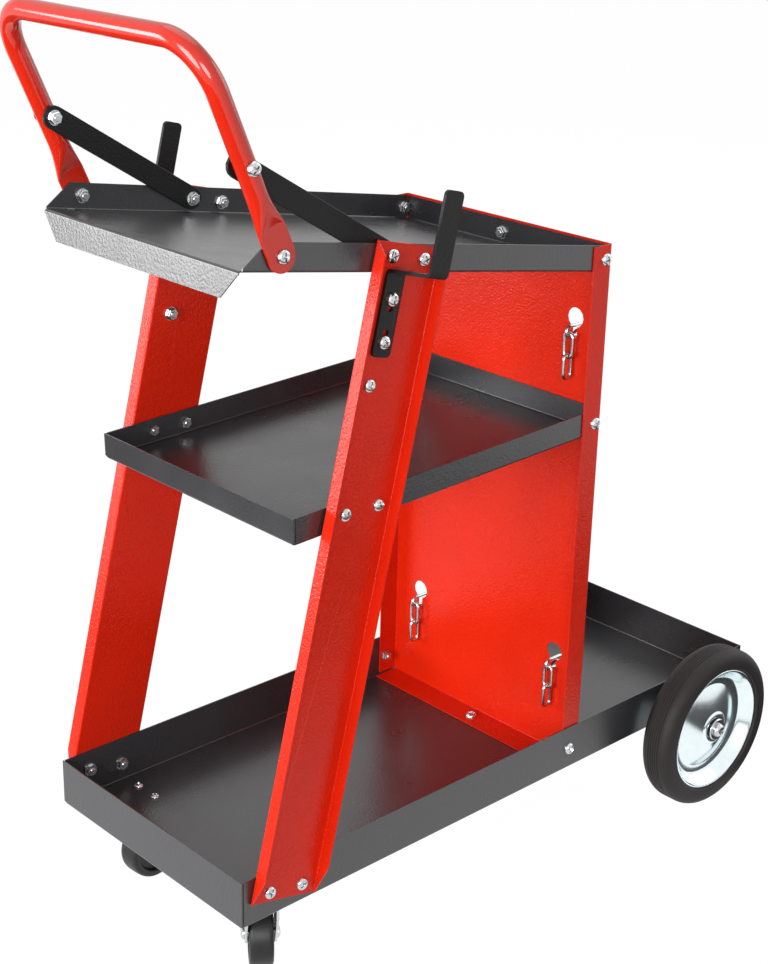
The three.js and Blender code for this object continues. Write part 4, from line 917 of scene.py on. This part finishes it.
class CART_OT_screws(bpy.types.Operator):
    """Makes the screws: pan heads outside, washers and nuts inside, on both sides of the cart"""

    bl_idname = "cart.screws"
    bl_label = "Screws and nuts"

    leg_foot = Vector((8.9, -0.3, 22.5)) * MM  # the right leg's front corner, from the tray's lowest corner
    leg_up = Vector((137.19, 3.0, 573.95)).normalized()  # along the right leg
    # Places on a leg: up from its foot and back from its front corner, in millimetres.
    shelf_places = ((578.6, 57.4), (357.1, 22.8), (365.2, 60.2), (9.2, 19.7), (10.8, 57.6))
    hook_places = ((543.3, 26), (507.1, 26))
    bare_places = ((469.4, 21.8),)
    # Places on the sides of the panel: forward of its rear face and up from the floor, in millimetres.
    tray_place = (15.7, 117.7)
    flange_places = ((8.3, 629.8), (8.3, 468.9))
    back_place = 628.6 * MM  # up the panel's rear face
    foot_place = 16.3 * MM  # on the panel's foot, forward of its rear face
    caster_inset = 9.5 * MM  # from the caster plates' edges
    strap_reach = 16.8 * MM  # from the axle
    strap_sheet = 2 * MM
    bolt_end = 6 * MM  # of a carrying bolt, past the sheets that it grips
    nut_flat = 0.87  # radius of the nut's top, of that over its corners
    nut_edge = 0.8 * MM
    tail_edge = 0.6 * MM

    def execute(self, context):
        self.sizes = context.scene.cart_sizes
        self.head = pan_head("pan_head", self.sizes.head_radius, self.sizes.head_rise)
        self.low_head = pan_head("low_head", self.sizes.floor_head_radius, self.sizes.floor_head_rise)
        self.made = 0
        self.carrying_bolts()
        self.leg_screws()
        self.panel_screws()
        self.floor_screws()
        return {"FINISHED"}

    def screw(self, builder, point, normal, grip, head=None):
        """A head on a point of the outer face, and a nut past the sheets that it grips."""
        sizes = self.sizes
        normal = Vector(normal).normalized()
        spin = self.made * SPIN_STEP
        self.made += 1
        stamp(builder, head or self.head, facing(point, normal, spin))
        far = facing(point - normal * grip, -normal, spin)
        shank = sizes.bolt_radius
        washer = sizes.nut_washer_sheet
        ring = sizes.nut_washer
        sheet = [(shank, 0), (ring, 0), (ring, washer), (shank, washer)]
        turned(builder, sheet, far, HEAD_STEPS)
        top = washer + sizes.nut_height
        corner = sizes.nut_radius
        flat = corner * self.nut_flat
        nut = [(shank, washer), (corner, washer), (corner, top - self.nut_edge), (flat, top), (shank, top)]
        turned(builder, nut, far, HEX)
        end = top + sizes.tail
        edge = self.tail_edge
        bolt = [(0, -grip), (shank, -grip), (shank, end - edge), (shank - edge, end), (0, end)]
        turned(builder, bolt, far, HEAD_STEPS)

    def carrying_bolts(self):
        """The bolts of the handle, its braces and the legs' heads, where the frame has them."""
        sizes = self.sizes
        builder = bmesh.new()
        nodes = []
        for side, sign in SIDES.items():
            for place in ("handle_bolt", "brace_bolt", "leg_bolt"):
                node = f"{side}_{place}"
                low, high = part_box(node)
                centre = (low + high) / 2
                half = (high.y - low.y) / 2
                seat = Vector((centre.x, centre.y + sign * (half - sizes.head_rise), centre.z))
                grip = 2 * half - sizes.head_rise - self.bolt_end
                self.screw(builder, seat, (0, sign, 0), grip)
                nodes.append(node)
        settle("carrying_bolts", builder, "zinc", nodes=nodes)

    def leg_screws(self):
        sizes = self.sizes
        up = self.leg_up
        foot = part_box("bottom_tray")[0] + self.leg_foot
        back = LEFT.cross(up).normalized()
        out = back.cross(up)
        web = sizes.leg_sheet
        hook = web + sizes.gap + sizes.bar_thickness
        wall = sizes.sheet + sizes.gap
        kinds = [
            (self.shelf_places, web, web + wall),
            (self.hook_places, hook, hook),
            (self.bare_places, web, web),
        ]
        builder = bmesh.new()
        for sign in SIDES.values():
            for places, face, grip in kinds:
                for rise, inset in places:
                    point = foot + up * rise * MM + back * inset * MM + out * face
                    normal = out.copy()
                    point.y *= -sign
                    normal.y *= -sign
                    self.screw(builder, point, normal, grip)
        settle("leg_screws", builder, "zinc")

    def panel_screws(self):
        sizes = self.sizes
        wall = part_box("bottom_tray")[1].y
        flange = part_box("back_panel")[1].y
        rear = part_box("back_panel")[1].x
        grip = 2 * sizes.sheet + sizes.gap
        builder = bmesh.new()
        for sign in SIDES.values():
            for face, places in ((wall, [self.tray_place]), (flange, self.flange_places)):
                for forward, height in places:
                    point = Vector((rear - forward * MM, sign * face, height * MM))
                    self.screw(builder, point, (0, sign, 0), grip)
        self.screw(builder, Vector((rear, 0, self.back_place)), REAR, grip)
        settle("panel_screws", builder, "zinc")

    def floor_screws(self):
        sizes = self.sizes
        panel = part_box("back_panel")
        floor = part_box("bottom_tray")[0].z
        builder = bmesh.new()
        foot = Vector((panel[1].x - self.foot_place, 0, panel[0].z + sizes.sheet))
        self.screw(builder, foot, UP, foot.z - floor)
        inset = self.caster_inset
        axle = middle("wheel_axle").x
        for side in SIDES:
            low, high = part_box(f"{side}_caster_plate")
            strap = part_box(f"{side}_axle_strap")
            strap_y = (strap[0].y + strap[1].y) / 2
            columns = (low.x + inset, high.x - inset)
            rows = (low.y + inset, high.y - inset)
            places = [(x, y, low.z) for x in columns for y in rows]
            strap_foot = strap[1].z - self.strap_sheet
            places += [(axle + way * self.strap_reach, strap_y, strap_foot) for way in (-1, 1)]
            for x, y, underside in places:
                top = Vector((x, y, floor + sizes.sheet))
                self.screw(builder, top, UP, top.z - underside, self.low_head)
        settle("floor_screws", builder, "zinc")


class CART_OT_stage(bpy.types.Operator):
    """Sets the camera, the floor, the lamps and the world"""

    bl_idname = "cart.stage"
    bl_label = "Stage"

    # The camera: its lens in millimetres, its place and two of its axes.
    lens = 67.04
    location = Vector((-1.1623, -1.1809, 1.0381))
    camera_right = Vector((0.73323, -0.67960, 0.02258))
    camera_up = Vector((0.23212, 0.28137, 0.93110))
    floor_half = 12.0  # in metres
    floor_drop = 0.2 * MM
    floor_shade = 0.55
    floor_glow = 1.13
    floor_seen = 0.86  # share of the glow where the floor shows as background
    # Grey of the card that paints dark reflections, and its roughness.
    card_shade = 0.02
    card_rough = 0.9
    ambient = 0.22  # the world's light on the cart
    aim = Vector((0, 0, 0.4))  # of every lamp
    # Dark card on the floor, seen only in reflections, where it paints dark reflections: the lower and the
    # upper corner of its hole and of its outline.
    card_hole = ((-0.76, -0.56), (0.36, 0.75))
    card_outline = ((-1.75, -1.10), (0.80, 1.50))
    # Lamps: place and width in metres, and power in watts.
    lamps = {
        "key_lamp": ((-3.0, -0.3, 1.0), 1.8, 85),
        "edge_lamp": ((-2.2, 2.0, 0.75), 1.1, 31),
        "fill_lamp": ((-2.0, -2.2, 1.2), 1.3, 38),
        "rear_lamp": ((2.6, -0.9, 1.7), 2.0, 20),
        "top_lamp": ((0.3, 0.6, 3.0), 2.4, 16),
    }

    def execute(self, context):
        scene = context.scene
        scene.view_settings.view_transform = "Standard"
        self.camera(scene)
        self.floor()
        self.card()
        self.world(scene)
        for name, (place, width, power) in self.lamps.items():
            light = bpy.data.lights.new(name, "AREA")
            light.shape = "DISK"
            light.size = width
            light.energy = power
            lamp = bpy.data.objects.new(name, light)
            lamp.matrix_world = facing(Vector(place), Vector(place) - self.aim)
            scene.collection.objects.link(lamp)
        return {"FINISHED"}

    def camera(self, scene):
        data = bpy.data.cameras.new("photo_camera")
        data.lens = self.lens
        camera = bpy.data.objects.new("photo_camera", data)
        towards = self.camera_right.cross(self.camera_up)
        place = Matrix((self.camera_right, self.camera_up, towards)).transposed().to_4x4()
        place.translation = self.location
        camera.matrix_world = place
        scene.collection.objects.link(camera)
        scene.camera = camera

    def seen(self, nodes):
        """1 for rays that show the background: to the camera, in a reflection or through glass."""
        kinds = ("Camera", "Glossy", "Transmission")
        camera, glossy, through = [nodes.add("LightPath", output=f"Is {kind} Ray") for kind in kinds]
        shown = camera.math("MAXIMUM", camera, glossy)
        return shown.math("MAXIMUM", shown, through)

    def floor(self):
        """A white floor that keeps the cart's shadow."""
        half = self.floor_half
        corners = rectangle((-half, -half), (half, half))
        builder = bmesh.new()
        builder.faces.new([builder.verts.new((x, y, -self.floor_drop)) for x, y in corners])
        floor = plain_object("floor", builder)
        material = bpy.data.materials.new("white_floor")
        material.use_nodes = True
        nodes = Nodes(material.node_tree)
        nodes.tree.nodes.remove(nodes.tree.nodes["Principled BSDF"])
        matt = nodes.add("BsdfDiffuse", inputs={"Color": shade(WHITE, self.floor_shade)})
        glow = nodes.add("Emission", inputs={"Color": shade(WHITE, 1), "Strength": self.floor_glow})
        shown = self.seen(nodes) * self.floor_seen
        mixed = nodes.add("MixShader", inputs={0: shown, 1: matt, 2: glow})
        feed(nodes.tree, nodes.tree.nodes["Material Output"].inputs["Surface"], mixed)
        floor.data.materials.append(material)

    def card(self):
        """A dark border on the floor round the cart, seen only in reflections: it paints dark reflections,
        and no camera, diffuse or shadow ray meets it.
        """
        builder = bmesh.new()
        loops = []
        for low, high in (self.card_hole, self.card_outline):
            loops.append([builder.verts.new((x, y, 0)) for x, y in rectangle(low, high)])
        bridge(builder, *loops)
        card = plain_object("painted_reflection_card", builder)
        # Only glossy rays see the card, so it paints dark reflections and casts no shade.
        for rays in ("camera", "diffuse", "transmission", "shadow"):
            setattr(card, "visible_" + rays, False)
        dark = Finish("painted_reflection_card", base_color=shade(WHITE, self.card_shade), roughness=self.card_rough)
        card.data.materials.append(dark.material)

    def world(self, scene):
        """A world that shows white and lights the cart a little."""
        world = bpy.data.worlds.new("white_studio")
        scene.world = world
        world.use_nodes = True
        nodes = Nodes(world.node_tree)
        background = nodes.tree.nodes["Background"].inputs
        feed(nodes.tree, background["Color"], shade(WHITE, 1))
        shown = self.seen(nodes) * (1 - self.ambient)
        feed(nodes.tree, background["Strength"], self.ambient + shown)


class CART_PT_panel(bpy.types.Panel):
    """The cart's sizes, finishes and makers"""

    bl_label = "Welding cart"
    bl_idname = "CART_PT_panel"
    bl_space_type = "VIEW_3D"
    bl_region_type = "UI"
    bl_category = "Cart"

    def draw(self, context):
        for group in (context.scene.cart_sizes, context.scene.cart_finishes):
            column = self.layout.column(align=True)
            for name in group.__annotations__:
                column.prop(group, name)
        for maker in MAKERS:
            self.layout.operator(maker.bl_idname)


MAKERS = (
    CART_OT_sheets,
    CART_OT_handle,
    CART_OT_wheels,
    CART_OT_casters,
    CART_OT_chains,
    CART_OT_screws,
    CART_OT_stage,
)
CLASSES = (CartSizes, CartFinishes, *MAKERS, CART_PT_panel)


def register():
    for made in CLASSES:
        bpy.utils.register_class(made)
    bpy.types.Scene.cart_sizes = PointerProperty(type=CartSizes)
    bpy.types.Scene.cart_finishes = PointerProperty(type=CartFinishes)


def unregister():
    del bpy.types.Scene.cart_sizes
    del bpy.types.Scene.cart_finishes
    for made in reversed(CLASSES):
        bpy.utils.unregister_class(made)


def main():
    register()
    for maker in MAKERS:
        group, name = maker.bl_idname.split(".")
        getattr(getattr(bpy.ops, group), name)()


if __name__ == "__main__":
    main()
